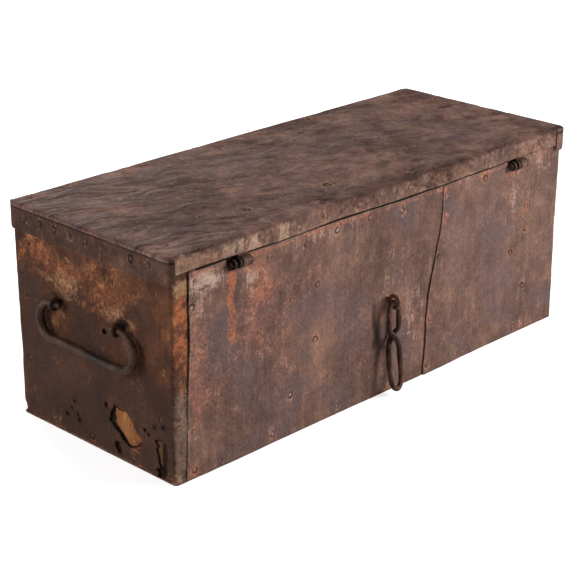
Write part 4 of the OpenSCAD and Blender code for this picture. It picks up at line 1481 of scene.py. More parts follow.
@dataclass
class HingeSide:
    """The two sheets of the hinge side, the right one lapped over the left."""

    finishes: Finishes
    nails: Array
    left_edge: float = -0.2583
    hidden_edge: float = 0.095
    right_edge: float = 0.2275
    grid: float = 0.0013
    gap_low: float = 0.0014
    hammer: Hammering = Hammering(seed=11, wave=0.0008, wave_size=0.09, mark=0.0003)

    def lap_x(self, z: Array) -> Array:
        """Where the lapped sheet's edge is at each height.

        Args:
            z: Heights.

        Returns:
            The edge's X.
        """
        heights = np.array([0, 37.7, 81.9, 102.7, 143.3, 158.8, 174.5, 200]) / 1000
        places = np.array([59, 61.4, 62.9, 67.2, 78.2, 81.2, 82.6, 83]) / 1000
        return np.interp(z, heights, places) + 0.0005 * fractal(placed(0, 0, z), 0.02, 7, 2)

    def pockets(self, x: Array, z: Array) -> Array:
        """Distance from the two hinge pockets, below zero in them.

        Args:
            x: Places along the side.
            z: Heights.

        Returns:
            The distances.
        """
        nearest = np.full(len(x), 1.0)
        half, low, round_r = 0.0133, 0.1875, 0.004
        for middle in (-BOX.hinge_x, BOX.hinge_x):
            du = np.abs(x - middle) - (half - round_r)
            dv = (low + round_r) - z
            nearest = np.minimum(nearest, past_corner(du, dv) - round_r)
        return nearest + 0.0004 * fractal(placed(x, 0, z), 0.008, 3, 2)

    def left_x(self, z: Array) -> Array:
        """Left edge of the left sheet, which leans out towards the foot."""
        return self.left_edge - edge_lean(z) + 0.0004 * fractal(placed(0, 0, z), 0.03, 21, 2)

    def surface(self, x: Array, z: Array, lift: Array) -> Array:
        """Sets a sheet's grid in place.

        Args:
            x: Places along the length.
            z: Heights.
            lift: How far each point is set up over the sheet under it.

        Returns:
            Points of the outer face.
        """
        flat = placed(x, -BOX.half_depth, z)
        height = self.hammer.at(flat, self.nails)
        pocket = self.pockets(x, z)
        height -= 0.0007 * np.exp(-(np.maximum(pocket, 0) / 0.003) ** 2)
        under_lid = ease(z, 0.1945, 0.1985)
        height -= 0.0004 * under_lid
        flat[:, 1] -= np.clip(height, -0.0011, 0.0011) + lift
        return flat

    def paint(self, points: Array, edge: Array, seed: int) -> dict[Tone, Array]:
        """Paints one sheet.

        Args:
            points: Its outer face.
            edge: Distance from its edges.
            seed: Number that picks the wandering.

        Returns:
            Strength of each tone.
        """
        tones = painted(points, HINGE_SIDE_STAINS, seed)
        add_nail_marks(tones, points, self.nails, seed)
        lapped = 0.3 + 0.3 * fractal(points, 0.03, seed, 2)
        tones[Tone.RUST] += lapped * np.exp(-edge / RUSTY_EDGE)
        tones[Tone.WORN] += np.exp(-edge / BRIGHT_EDGE)
        below_seam = seam_height(points[:, 0]) - points[:, 2]
        # Painted shade: a dark line just under the seam, where the lid's rim shades the sheet
        tones[Tone.SOOT] += 0.5 * np.exp(-((below_seam / 0.0018) ** 2))
        lit = np.exp(-(((below_seam - 0.0045) / 0.002) ** 2))
        tones[Tone.RUST] += lit * (0.45 + 0.5 * fractal(points, 0.02, seed + 1, 2))
        # Darker over the last four millimetres above the foot
        tones[Tone.SOOT] += 0.6 * ease(-points[:, 2], -0.004, 0.0)
        return tones

    def build(self) -> list[bpy.types.Object]:
        """Makes both sheets.

        Returns:
            The left sheet and the right sheet.
        """
        zs = grid_lines(SHEET_FOOT, BOX.wall_top, self.grid)

        def keep(x: Array, z: Array, left: Array, right: float) -> Array:
            """The outline of one sheet.

            Args:
                x: Places along the side.
                z: Heights.
                left: X of its left edge.
                right: X of its right edge.

            Returns:
                Distances inside the sheet's edges, below zero outside them.
            """
            level = np.minimum(z - 0.0001, seam_height(x) - self.gap_low - z)
            sides = np.minimum(x - left, right - x)
            return np.minimum(np.minimum(sides, level), self.pockets(x, z))

        def place_left(x: Array, z: Array) -> Array:
            """The left sheet's outer face, pressed flat under the lap.

            Args:
                x: Places along the side.
                z: Heights.

            Returns:
                One point for each place.
            """
            under = ease(x - self.lap_x(z), -0.006, 0.002)
            points = self.surface(x, z, np.zeros(len(x)))
            flat = -BOX.half_depth
            points[:, 1] = points[:, 1] * (1 - under) + (flat + 0.0002) * under
            return points

        def place_right(x: Array, z: Array) -> Array:
            """The right sheet's outer face, lifted and curled at the lap.

            Args:
                x: Places along the side.
                z: Heights.

            Returns:
                One point for each place.
            """
            lift = 0.85 * BOX.sheet * (1 - ease(x, 0.097, 0.125))
            curl = 0.0003 * np.exp(-((x - self.lap_x(z)) / 0.004) ** 2)
            return self.surface(x, z, lift + curl)

        left = Sheet(
            "hinge_side_sheet_left_skin",
            np.arange(self.left_edge - 0.008, self.hidden_edge + 0.001, self.grid),
            zs, place_left, lambda x, z: keep(x, z, self.left_x(z), self.hidden_edge), SKIN,
            lambda p, e: self.paint(p, e, 31), along_y,
        ).build()
        right = Sheet(
            "hinge_side_sheet_right_skin",
            np.arange(0.054, self.right_edge + 0.001, self.grid),
            zs, place_right, lambda x, z: keep(x, z, self.lap_x(z), self.right_edge), SKIN,
            lambda p, e: self.paint(p, e, 32), along_y,
        ).build()
        for piece, node in ((left, "hinge_side_sheet_left"), (right, "hinge_side_sheet_right")):
            dress(piece, self.finishes.side)
            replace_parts(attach(piece, "case"), node)
        return [left, right]


@dataclass
class LockSide:
    """The two sheets of the lock side, with one straight lap."""

    finishes: Finishes
    nails: Array
    edge_x: float = 0.257
    seam_x: float = 0.096
    lap: float = 0.012
    grid: float = 0.0028
    hammer: Hammering = Hammering(seed=51, wave=0.0006, wave_size=0.1, mark=0.0002)

    @staticmethod
    def wander(z: Array, seed: int) -> Array:
        """How far a cut edge strays sideways at each height."""
        return 0.0007 * fractal(placed(0, 0, z), 0.03, seed, 2)

    def surface(self, x: Array, z: Array, lift: Array) -> Array:
        """Sets a sheet's grid in place.

        Args:
            x: Places along the length.
            z: Heights.
            lift: How far each point is set up over the sheet under it.

        Returns:
            Points of the outer face.
        """
        flat = placed(x, BOX.half_depth, z)
        height = self.hammer.at(flat, self.nails)
        groove = ease(z, BOX.wall_top - 0.0016, BOX.wall_top)
        height = height * (1 - groove) - 0.0009 * groove
        flat[:, 1] += height + lift
        return flat

    def paint(self, points: Array, edge: Array, seed: int) -> dict[Tone, Array]:
        """Paints one sheet.

        Args:
            points: Its outer face.
            edge: Distance from its edges.
            seed: Number that picks the wandering.

        Returns:
            Strength of each tone.
        """
        tones = painted(points, LOCK_SIDE_STAINS, seed)
        add_nail_marks(tones, points, self.nails, seed)
        tones[Tone.RUST] += 0.5 * np.exp(-edge / RUSTY_EDGE)
        tones[Tone.WORN] += np.exp(-edge / BRIGHT_EDGE)
        # Darker over the last six millimetres above the foot
        tones[Tone.SOOT] += 0.8 * ease(-points[:, 2], -0.006, 0.0)
        return tones

    def build(self) -> list[bpy.types.Object]:
        """Makes both sheets.

        Returns:
            The left sheet and the right sheet.
        """
        zs = grid_lines(SHEET_FOOT, BOX.wall_top, self.grid)

        def keep_left(x: Array, z: Array) -> Array:
            """Distances inside the left sheet's edges."""
            sides = np.minimum(x + self.edge_x - self.wander(z, 61), self.seam_x + self.lap - x)
            return np.minimum(sides, np.minimum(z - 0.0002, BOX.wall_top - z + 0.0005))

        def keep_right(x: Array, z: Array) -> Array:
            """Distances inside the right sheet's edges."""
            sides = np.minimum(x - self.seam_x - self.wander(z, 62), self.edge_x - x)
            return np.minimum(sides, np.minimum(z - 0.0002, BOX.wall_top - z + 0.0005))

        made = []
        for side, keep, low, high, seed in (
            ("left", keep_left, -self.edge_x - 0.003, self.seam_x + self.lap + 0.001, 33),
            ("right", keep_right, self.seam_x - 0.004, self.edge_x + 0.001, 34),
        ):
            def place(x: Array, z: Array, side: str = side) -> Array:
                """The outer face of one sheet.

                Args:
                    x: Places along the side.
                    z: Heights.
                    side: Which of the two sheets.

                Returns:
                    One point for each place.
                """
                if side == "left":
                    under = ease(x, self.seam_x - 0.006, self.seam_x + 0.002)
                    points = self.surface(x, z, np.zeros(len(x)))
                    points[:, 1] = points[:, 1] * (1 - under) + (BOX.half_depth - 0.0002) * under
                    return points
                return self.surface(x, z, BOX.sheet * (1 - ease(x, 0.112, 0.14)))

            piece = Sheet(
                f"lock_side_sheet_{side}_skin", np.arange(low, high, self.grid), zs, place, keep,
                SKIN, lambda p, e, s=seed: self.paint(p, e, s), along_y,
            ).build()
            dress(piece, self.finishes.side)
            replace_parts(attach(piece, "case"), f"lock_side_sheet_{side}")
            made.append(piece)
        return made


@dataclass(frozen=True)
class Wrap:
    """A strip's path in plan: a flange on the hinge side, round one end, a flange on the other."""

    end: End
    face_x: float
    face_y: float
    corner: float
    lead: float
    tail: float

    def length(self) -> float:
        """Length of the path."""
        flat = 2 * (self.face_y - self.corner)
        return self.lead + self.tail + math.pi * self.corner + flat

    def at(self, s: Array, z: Array, out: Array | float = 0.0) -> Array:
        """Points of the strip.

        Args:
            s: Distance along the path.
            z: Heights.
            out: Height above the flat strip.

        Returns:
            One point for each distance and height.
        """
        r = self.corner
        half, arc = self.face_y - r, r * math.pi / 2
        s1 = s - self.lead
        s2 = s1 - arc
        s3 = s2 - 2 * half
        s4 = s3 - arc
        angle = np.clip(s1 / r, 0, math.pi / 2) + np.clip(s3 / r, 0, math.pi / 2)
        x = self.face_x - r + np.minimum(s1, 0) + np.sin(angle) * (r + out) - np.maximum(s4, 0)
        y = np.where(s3 < 0, -half + np.clip(s2, 0, 2 * half), half) - np.cos(angle) * (r + out)
        return placed(self.end * x, y, z)


@dataclass
class EndSheet:
    """An end sheet, wrapped round both upright corners as flanges."""

    finishes: Finishes
    end: End
    nails: Array
    show_hinge: float
    show_lock: float = 0.020
    lap: float = 0.012
    grid: float = 0.0012
    hammer: Hammering = Hammering(seed=71, wave=0.0009, wave_size=0.07, mark=0.0003, high=0.0009)

    def wrap(self) -> Wrap:
        """The path round the end.

        Returns:
            The path, from the hinge side to the lock side.
        """
        lead, tail = (show + self.lap - BOX.corner for show in (self.show_hinge, self.show_lock))
        depth = BOX.half_depth - BOX.sheet
        return Wrap(self.end, BOX.half_length, depth, BOX.corner, lead, tail)

    def holes(self, points: Array) -> Array:
        """Distance from what rust has eaten away at the left end, below zero in it.

        Args:
            points: Points, one to a row.

        Returns:
            The distances, all large at the right end.
        """
        y, z = points[:, 1], points[:, 2]
        nearest = np.full(len(y), 1.0)
        if self.end == RIGHT:
            return nearest
        torn = 0.001 * fractal(points, 0.008, 81, 3) + 0.0005 * fractal(points, 0.0025, 82, 1)
        for outline in TORN_PATCHES:
            corners = [(a / 1000, b / 1000) for a, b in outline]
            nearest = np.minimum(nearest, polygon_distance(y, z, corners))
        nearest = nearest + torn
        for py, pz, radius in WORM_HOLES:
            nearest = np.minimum(nearest, np.hypot(y - py / 1000, z - pz / 1000) - radius / 1000
                                 + 0.25 * torn)
        return nearest

    def level(self, points: Array) -> Array:
        """Distance above the ragged foot of the sheet.

        Args:
            points: Points, one to a row.

        Returns:
            The distances, below zero where it is eaten.
        """
        x, y, z = points.T
        chew = 0.0011 * fractal(points, 0.016, 83, 3) + 0.0012
        if self.end == LEFT:
            far = ease(y, 0.1, 0.1125)
            chew = chew + 0.0018 * ease(fractal(points, 0.011, 84, 2), 0.2, 0.5)
            chew = chew + 0.024 * far * (1 + 0.3 * fractal(points, 0.01, 85, 2))
        return z - np.maximum(chew, 0.0003)

    def paint(self, points: Array, edge: Array) -> dict[Tone, Array]:
        """Paints the sheet.

        Args:
            points: Its outer face.
            edge: Distance from its edges and holes.

        Returns:
            Strength of each tone.
        """
        marks = LEFT_END_STAINS if self.end == LEFT else RIGHT_END_STAINS
        tones = painted(points, marks, 41 + self.end, 0.012)
        add_nail_marks(tones, points, self.nails, 5, 0.3)
        eaten = np.maximum(self.holes(points), 0)
        whole = ease(eaten, 0.002, 0.004) * (points[:, 1] < 0.08)
        tones[Tone.WORN] += np.exp(-edge / BRIGHT_EDGE) * whole
        tones[Tone.RUST] += 0.5 * np.exp(-edge / RUSTY_EDGE)
        # Painted shade: the sheet darkens round the rust holes, except beside the torn wood
        wood = np.maximum(polygon_distance(points[:, 1], points[:, 2], SPLINTER), 0)
        bright = 0.9 * np.exp(-wood / 0.003) * (self.end == LEFT)
        tones[Tone.SOOT] += 0.9 * np.exp(-eaten / 0.0014) * (1 - bright)
        # Painted shadow: a dark line on the flange along the edge of the side sheet that laps over
        # it
        seam = np.where(points[:, 1] < -0.1, np.abs(np.abs(points[:, 0]) - self.seam_at(points)), 1)
        tones[Tone.SOOT] += 1.2 * np.exp(-((seam / 0.0016) ** 2))
        # Lightens the flange, the strip of this sheet on the long side, in its lower part: partly
        # grey wear, partly a painted highlight that lifts it to the brightness of the side sheets
        flange = ease(-points[:, 1], 0.106, 0.1098) * (1 - 0.7 * ease(points[:, 2], 0.09, 0.15))
        flange = flange * (self.end == LEFT)
        flange = flange * (1 - 0.9 * np.clip(tones[Tone.RUST], 0, 1))
        upright = fractal(points * np.array([2, 1, 0.3]), 0.012, 88, 3)
        tones[Tone.WORN] += flange * (1.0 + 0.5 * upright)
        return tones

    def torn_wood(self) -> bpy.types.Object:
        """Makes the torn wood that bulges out through the larger rust hole.

        Returns:
            The splinter of board.
        """
        board_x = -(BOX.half_length - BOX.sheet)
        step, high = 0.0008, 0.0011

        def place(y: Array, z: Array) -> Array:
            """The bulging face of the torn wood.

            Args:
                y: Places along Y.
                z: Heights.

            Returns:
                One point for each place.
            """
            depth = np.maximum(-polygon_distance(y, z, SPLINTER), 0)
            bulge = high * ease(depth, 0, 0.005)
            grain = 0.00025 * fractal(placed(0, y, z), 0.006, 87, 2, (1, 3, 1))
            return placed(board_x - bulge - grain - 0.0002, y, z)

        def keep(y: Array, z: Array) -> Array:
            """Distances inside the frayed outline."""
            frayed = 0.0011 * fractal(placed(0, y, z), 0.005, 89, 2)
            return frayed - polygon_distance(y, z, SPLINTER)

        piece = Sheet(
            "end_board_left_splinter", np.arange(-0.067, -0.026, step),
            np.arange(0.017, 0.055, step), place, keep, 0.0008,
            lambda p, e: {Tone.WORN: np.exp(-e / 0.002)}, lambda p: p * np.array([1, 0, 0]),
        ).build()
        dress(piece, self.finishes.splinter)
        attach(piece, "case")
        return piece

    def seam_at(self, points: Array) -> Array:
        """Distance from the middle of the box to the side sheet's edge on this flange.

        Args:
            points: Points, one to a row.

        Returns:
            The distances.
        """
        if self.end == RIGHT:
            return np.full(len(points), BOX.half_length - self.show_hinge)
        return 0.2588 + edge_lean(points[:, 2])

    def build(self) -> bpy.types.Object:
        """Makes the wrapped sheet.

        Returns:
            The end sheet.
        """
        wrap = self.wrap()
        total = wrap.length()
        zs = grid_lines(SHEET_FOOT, BOX.wall_top, self.grid)

        def keep(s: Array, z: Array) -> Array:
            """The sheet's outline and its holes.

            Args:
                s: Places along the path round the end.
                z: Heights.

            Returns:
                Distances inside the sheet's edges, below zero outside them.
            """
            points = wrap.at(s, z)
            inside = np.minimum(s, total - s) + 0.0005
            low = np.minimum(self.level(points), BOX.wall_top - z + 0.0005)
            return np.minimum(np.minimum(inside, low), self.holes(points))

        def place(s: Array, z: Array) -> Array:
            """The hammered outer face, curled at the holes and flat under the side sheets.

            Args:
                s: Places along the path round the end.
                z: Heights.

            Returns:
                One point for each place.
            """
            points = wrap.at(s, z)
            height = self.hammer.at(points, self.nails)
            torn = self.holes(points)
            curl = np.exp(-np.maximum(torn, 0) / 0.004) * (0.5 + fractal(points, 0.012, 86, 2))
            height += 0.0009 * curl
            top = ease(z, BOX.wall_top - 0.003, BOX.wall_top)
            height -= 0.0005 * top
            under = np.maximum(
                ease(-s, -self.lap, -self.lap + 0.004),
                ease(s, total - self.lap - 0.004, total - self.lap),
            )
            height = height * (1 - under)
            return wrap.at(s, z, height)

        if self.end == LEFT:
            self.torn_wood()
        side = self.end.side
        piece = Sheet(
            f"end_sheet_{side}_skin", np.linspace(0, total, round(total / self.grid) + 1), zs,
            place, keep, 0.001, self.paint,
        ).build()
        dress(piece, self.finishes.end if self.end == LEFT else self.finishes.side)
        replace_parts(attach(piece, "case"), f"end_sheet_{side}")
        return piece


# Rust holes in the left end, as outlines in Y and Z, in millimetres
TORN_PATCHES = [
    [(-26, 48), (-28, 54), (-32.5, 52), (-38, 52.5), (-44.5, 52), (-53.5, 45.5), (-58.3, 37.8),
     (-66, 31), (-62.5, 24), (-57, 20), (-49, 17.8), (-43, 20.5), (-40.5, 22.5), (-37, 27),
     (-32, 30), (-28, 32.5), (-24.5, 35), (-21, 36.5), (-22.8, 40), (-22.4, 44)],
    [(-84.5, 37), (-88, 39.5), (-91, 39), (-96, 38.3), (-99.5, 38.8), (-100, 31), (-99, 24),
     (-97.3, 17), (-94, 13.5), (-90, 12.5), (-88.3, 21), (-85.6, 28.3), (-87.5, 33)],
    [(-29, 17), (-35, 18), (-35.5, 12), (-35, 6.5), (-31.5, 8.5), (-28.8, 12.7)],
    [(-84.5, 8.4), (-90, 12), (-97.7, 15), (-99, 11.4), (-97, 4.6), (-92, 2.5), (-86, 2.5),
     (-87.8, 6.3)],
]
# Outline of the torn wood in the larger hole, as Y and Z in metres
SPLINTER = [
    (-0.0295, 0.0528), (-0.0323, 0.0508), (-0.0437, 0.0512), (-0.0526, 0.0449),
    (-0.0574, 0.0373), (-0.0652, 0.0309), (-0.0617, 0.0249), (-0.0564, 0.0209),
    (-0.0491, 0.0188), (-0.0423, 0.0244), (-0.0355, 0.0307), (-0.0290, 0.0363),
    (-0.0285, 0.0444),
]
# Small holes, as Y, Z and radius in millimetres
WORM_HOLES = [
    (-17, 50, 1.9), (42, 21, 1.6), (26, 25, 1.2), (24, 20, 1.6), (35, 30, 1.1), (-71, 43, 1.6),
    (-76, 40, 1.3), (-96, 54, 1.3), (-19.3, 123.8, 2.6), (-84, 50, 1.0), (30, 38, 1.1),
]
LEFT_END_STAINS = [
    *stains(0, -1000 * BOX.half_length, {
        Tone.RUST: [
            (92, 172, 22, 24, 0.75), (60, 180, 30, 14, 0.55), (30, 165, 30, 20, 0.5),
            (-30, 172, 50, 18, 0.5), (-20, 150, 30, 20, 0.45), (56, 112, 14, 16, 0.55),
            (40, 128, 10, 10, 0.6), (-60, 110, 14, 35, 0.45), (55, 75, 12, 18, 0.3),
            (100, 30, 10, 12, 0.4),
        ],
        Tone.PALE: [
            (58, 158, 22, 12, 0.5), (0, 160, 50, 20, 0.22), (24, 152, 18, 12, 0.35),
            (-35, 140, 24, 10, 0.5), (-50, 128, 8, 16, 0.5),
        ],
        Tone.ASH: [
            (0, 30, 200, 60, 0.8), (92, 128, 24, 22, 0.7), (-75, 148, 18, 20, 0.6),
            (20, 100, 50, 20, 0.2), (75, 90, 30, 30, 0.5),
        ],
        Tone.SOOT: [
            (-95, 70, 14, 50, 0.35), (0, 196, 120, 5, 0.5), (20, 35, 110, 45, 0.36),
            (-34, 131, 6, 4, 1), (44, 134, 8, 7, 0.9), (-44, 134, 8, 7, 0.9),
        ],
    }),
    *stains(1, -110, {
        Tone.RUST: [
            (-266, 150, 12, 35, 0.6), (-263.5, 137, 6, 22, 1.9), (-264, 125, 10, 55, 1),
        ],
        Tone.SOOT: [
            (-267, 152, 5, 7, 0.55), (-271, 126, 4, 12, 0.6), (-264, 100, 6, 10, 0.45),
        ],
        Tone.PALE: [
            (-268, 188, 12, 12, 1.1), (-265, 120, 8, 55, 0.7), (-270, 50, 10, 40, 0.3),
        ],
    }, 12),
    Stain(Tone.PALE, (-0.275, -0.108, 0.004), (0.009, 0.006, 0.006), 1.0),
    Stain(Tone.SOOT, (-0.281, -0.1, 0.15), (0.006, 0.008, 0.05), 0.45),
]
RIGHT_END_STAINS = [
    *stains(0, 1000 * BOX.half_length, {
        Tone.RUST: [
            (60, 160, 40, 25, 0.6), (-70, 70, 20, 50, 0.5),
        ],
        Tone.PALE: [
            (-40, 150, 30, 15, 0.5),
        ],
        Tone.SOOT: [
            (0, 193, 120, 7, 0.5),
        ],
    }),
    *stains(1, -110, {
        Tone.RUST: [
            (250, 193, 30, 5, 0.35),
        ],
        Tone.PALE: [
            (250, 185, 20, 10, 0.4),
        ],
        Tone.SOOT: [
            (235, 130, 6, 60, 0.15),
        ],
    }, 20),
]


# The lid


@dataclass
class LidTop:
    """The lid's top sheet, folded down over both long edges and lipped over both ends."""

    finishes: Finishes
    nails: Array
    bend: float = 0.0022
    plan_corner: float = 0.0035
    lip: float = 0.004
    grid: float = 0.0019
    hammer: Hammering = Hammering(
        seed=131, wave=0.0009, wave_size=0.03, mark=0.0014, mark_size=0.016,
        stretch=(1.9, 1.0, 1.0), turn=-0.35, low=-0.0011, high=0.0009, dimple=0.0012,
        dimple_reach=0.006,
    )

    def over(self, u: Array, v: Array) -> tuple[Array, Array, Array]:
        """How far a point of the flat pattern lies past the flat top, and which way.

        Args:
            u: Places along the length in the flat pattern.
            v: Places across it.

        Returns:
            The distance, and the direction's parts along X and Y.
        """
        du = np.maximum(np.abs(u) - (BOX.lip_end - self.bend - self.plan_corner), 0)
        dv = np.maximum(np.abs(v) - (BOX.lid_half_depth - self.bend - self.plan_corner), 0)
        out = np.hypot(du, dv)
        safe = np.maximum(out, FLOAT_SLACK)
        return np.maximum(out - self.plan_corner, 0), du / safe, dv / safe

    def reach(self, u: Array, v: Array) -> Array:
        """How far the pattern goes past the flat top at each place.

        Args:
            u: Places along X on the unfolded sheet.
            v: Places along Y on the unfolded sheet.

        Returns:
            The distances.
        """
        _, cu, _ = self.over(u, v)
        fold = self.bend * (math.pi / 2 - 1)
        low = np.where(v < 0, seam_height(u) + np.maximum(seam_gap(u), 0.0002), BOX.lid_low)
        side = BOX.lid_top - low + fold
        along = placed(u, v, 0)
        lip = self.lip + fold + 0.0004 * fractal(along, 0.02, 141, 2)
        share = ease(cu, 0.15, 0.6)
        return side * (1 - share) + lip * share

    def flat_points(self, u: Array, v: Array, out: Array | float = 0.0) -> Array:
        """Folds the flat pattern over the lid.

        Args:
            u: Places along the length in the flat pattern.
            v: Places across it.
            out: Height above the sheet.

        Returns:
            Points of the folded sheet.
        """
        away, cu, cv = self.over(u, v)
        angle = np.clip(away / self.bend, 0, math.pi / 2)
        drop = self.bend * (1 - np.cos(angle)) + np.maximum(away - self.bend * math.pi / 2, 0)
        push = self.bend * np.sin(angle) + out * np.sin(angle)
        x = np.sign(u) * (np.abs(u) + cu * (push - away))
        y = np.sign(v) * (np.abs(v) + cv * (push - away))
        return np.stack([x, y, BOX.lid_top - drop + out * np.cos(angle)], 1)

    def relief(self, points: Array) -> Array:
        """Height of the sheet above its folded form.

        Args:
            points: Points, one to a row.

        Returns:
            The heights.
        """
        height = self.hammer.at(points, self.nails)
        edge = np.minimum(
            BOX.lip_end - np.abs(points[:, 0]), BOX.lid_half_depth - np.abs(points[:, 1])
        )
        on_top = points[:, 2] > BOX.lid_top - 0.0005
        calm = np.where(on_top, 0.4 + 0.6 * ease(edge, 0.0, 0.01), 0.35)
        calm = calm * (1 - 0.4 * ease(-points[:, 0], 0.0, 0.2))
        sag = -0.0007 * fractal(points * np.array([1, 0.2, 0.2]), 0.06, 151, 2) ** 2
        height = height * calm + np.where(on_top & (edge < 0.004), sag, 0)
        return np.clip(height, self.hammer.low, self.hammer.high)

    def paint(self, points: Array, edge: Array) -> dict[Tone, Array]:
        """Paints the sheet.

        Args:
            points: Its outer face.
            edge: Distance from its edges.

        Returns:
            Strength of each tone.
        """
        x, y, z = points.T
        rim = ease(BOX.lid_top - z, 0.0015, 0.003) * (np.abs(y) > BOX.lid_half_depth - 0.002)
        tones = painted(points, TOP_STAINS, 161)
        flat_top = z > BOX.lid_top - 0.0015
        streaks = ease(fractal(placed(x, 0, 0.2 * z), 0.008, 162, 3), -0.1, 0.45)
        bloom = np.exp(-(((x + 0.165) / 0.045) ** 2)) + 0.35 * np.exp(-(((x - 0.02) / 0.05) ** 2))
        bloom = bloom + 0.3 * np.exp(-(((x - 0.13) / 0.03) ** 2))
        tones[Tone.PALE] += rim * np.clip(0.12 + bloom * (0.05 + 1.0 * streaks), 0, 1)
        tones[Tone.RUST] += rim * (0.38 + 0.4 * np.clip(fractal(points, 0.05, 163, 2), 0, 1))
        add_nail_marks(tones, points, self.nails, 9, 0.9, 1.1)
        tear = 0.0275 + 0.0012 * np.sin(x * 260)
        length = np.exp(-(((x - 0.247) / 0.014) ** 4)) * flat_top
        tones[Tone.SOOT] += 1.3 * length * np.exp(-(((y - tear) / 0.0019) ** 2))
        tones[Tone.RUST] += 1.2 * length * np.exp(-(((y - tear + 0.0045) / 0.0026) ** 2))
        rubbed = rim * (0.7 + 0.4 * fractal(points, 0.04, 165, 2))
        tones[Tone.WORN] += 0.8 * np.exp(-edge / 0.0015) + rubbed
        # Painted highlight: a lighter line along the fold where the sheet bends down
        bend = np.exp(-(((BOX.lid_top - z - 0.0013) / 0.0009) ** 2))
        tones[Tone.WORN] += 0.7 * bend * (0.6 + fractal(points, 0.03, 164, 2))
        # Painted shade in the hollows of the hammered top and painted highlight on its crests
        flat = 1 - ease(BOX.lid_top - z, 0.0013, 0.002)
        tones[Tone.SOOT] += 0.55 * flat * ease(BOX.lid_top - z, 0.0002, 0.0011)
        tones[Tone.WORN] += 0.7 * flat * ease(z - BOX.lid_top, 0.0, 0.0008)
        return tones

    def build(self) -> bpy.types.Object:
        """Makes the top sheet.

        Returns:
            The folded sheet.
        """
        deep = 0.024
        half_u = BOX.lip_end - self.bend
        half_v = BOX.lid_half_depth - self.bend
        skirt_u = np.linspace(0, 0.009, 7)[1:]
        fold, hanging = np.linspace(0, self.bend * 1.6, 5)[1:], np.arange(0.006, deep, 0.0022)
        skirt_v = np.concatenate([fold, hanging])
        core_u = np.linspace(-half_u, half_u, round(2 * half_u / self.grid) + 1)
        core_v = np.linspace(-half_v, half_v, round(2 * half_v / self.grid) + 1)
        us = np.concatenate([-half_u - skirt_u[::-1], core_u, half_u + skirt_u])
        vs = np.concatenate([-half_v - skirt_v[::-1], core_v, half_v + skirt_v])

        def keep(u: Array, v: Array) -> Array:
            """Distances inside the pattern's edges."""
            away, _, _ = self.over(u, v)
            return self.reach(u, v) - away

        def place(u: Array, v: Array) -> Array:
            """The folded sheet's outer face, hammered."""
            flat = self.flat_points(u, v)
            return self.flat_points(u, v, self.relief(flat))

        piece = Sheet(
            "lid_top_sheet_skin", us, vs, place, keep, SKIN, self.paint,
            lambda p: p - np.array([0, 0, 0.2]),
        ).build()
        dress(piece, self.finishes.top)
        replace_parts(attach(piece, "lid"), "lid_top_sheet")
        return piece


TOP_STAINS = [
    *stains(2, 218, {
        Tone.SOOT: [
            # The last of these is painted shade, a faint darkening over the left of the top
            (212, 78, 8, 6, 0.6), (60, 70, 9, 5, 0.55), (15, 30, 8, 6, 0.55), (-50, 88, 9, 5, 0.5),
            (130, 0, 7, 6, 0.45), (-220, 30, 70, 80, 0.12),
        ],
        Tone.RUST: [
            (-240, 0, 30, 80, 0.3), (-180, -60, 30, 20, 0.4), (-210, 20, 30, 30, 0.3),
            (120, -90, 50, 12, 0.35),
        ],
        Tone.ASH: [
            (80, 20, 80, 40, 0.5), (190, -50, 40, 30, 0.5), (-50, 50, 50, 30, 0.4),
        ],
        Tone.PALE: [
            (-140, -100, 20, 8, 0.4),
        ],
    }),
    *stains(1, -111.8, {
        Tone.PALE: [
            (-262, 208, 20, 9, 1.3), (-205, 210, 16, 8, 0.9),
        ],
        Tone.RUST: [
            (-250, 210, 30, 10, 0.5), (215, 205, 25, 8, 0.5),
        ],
    }, 10),
]


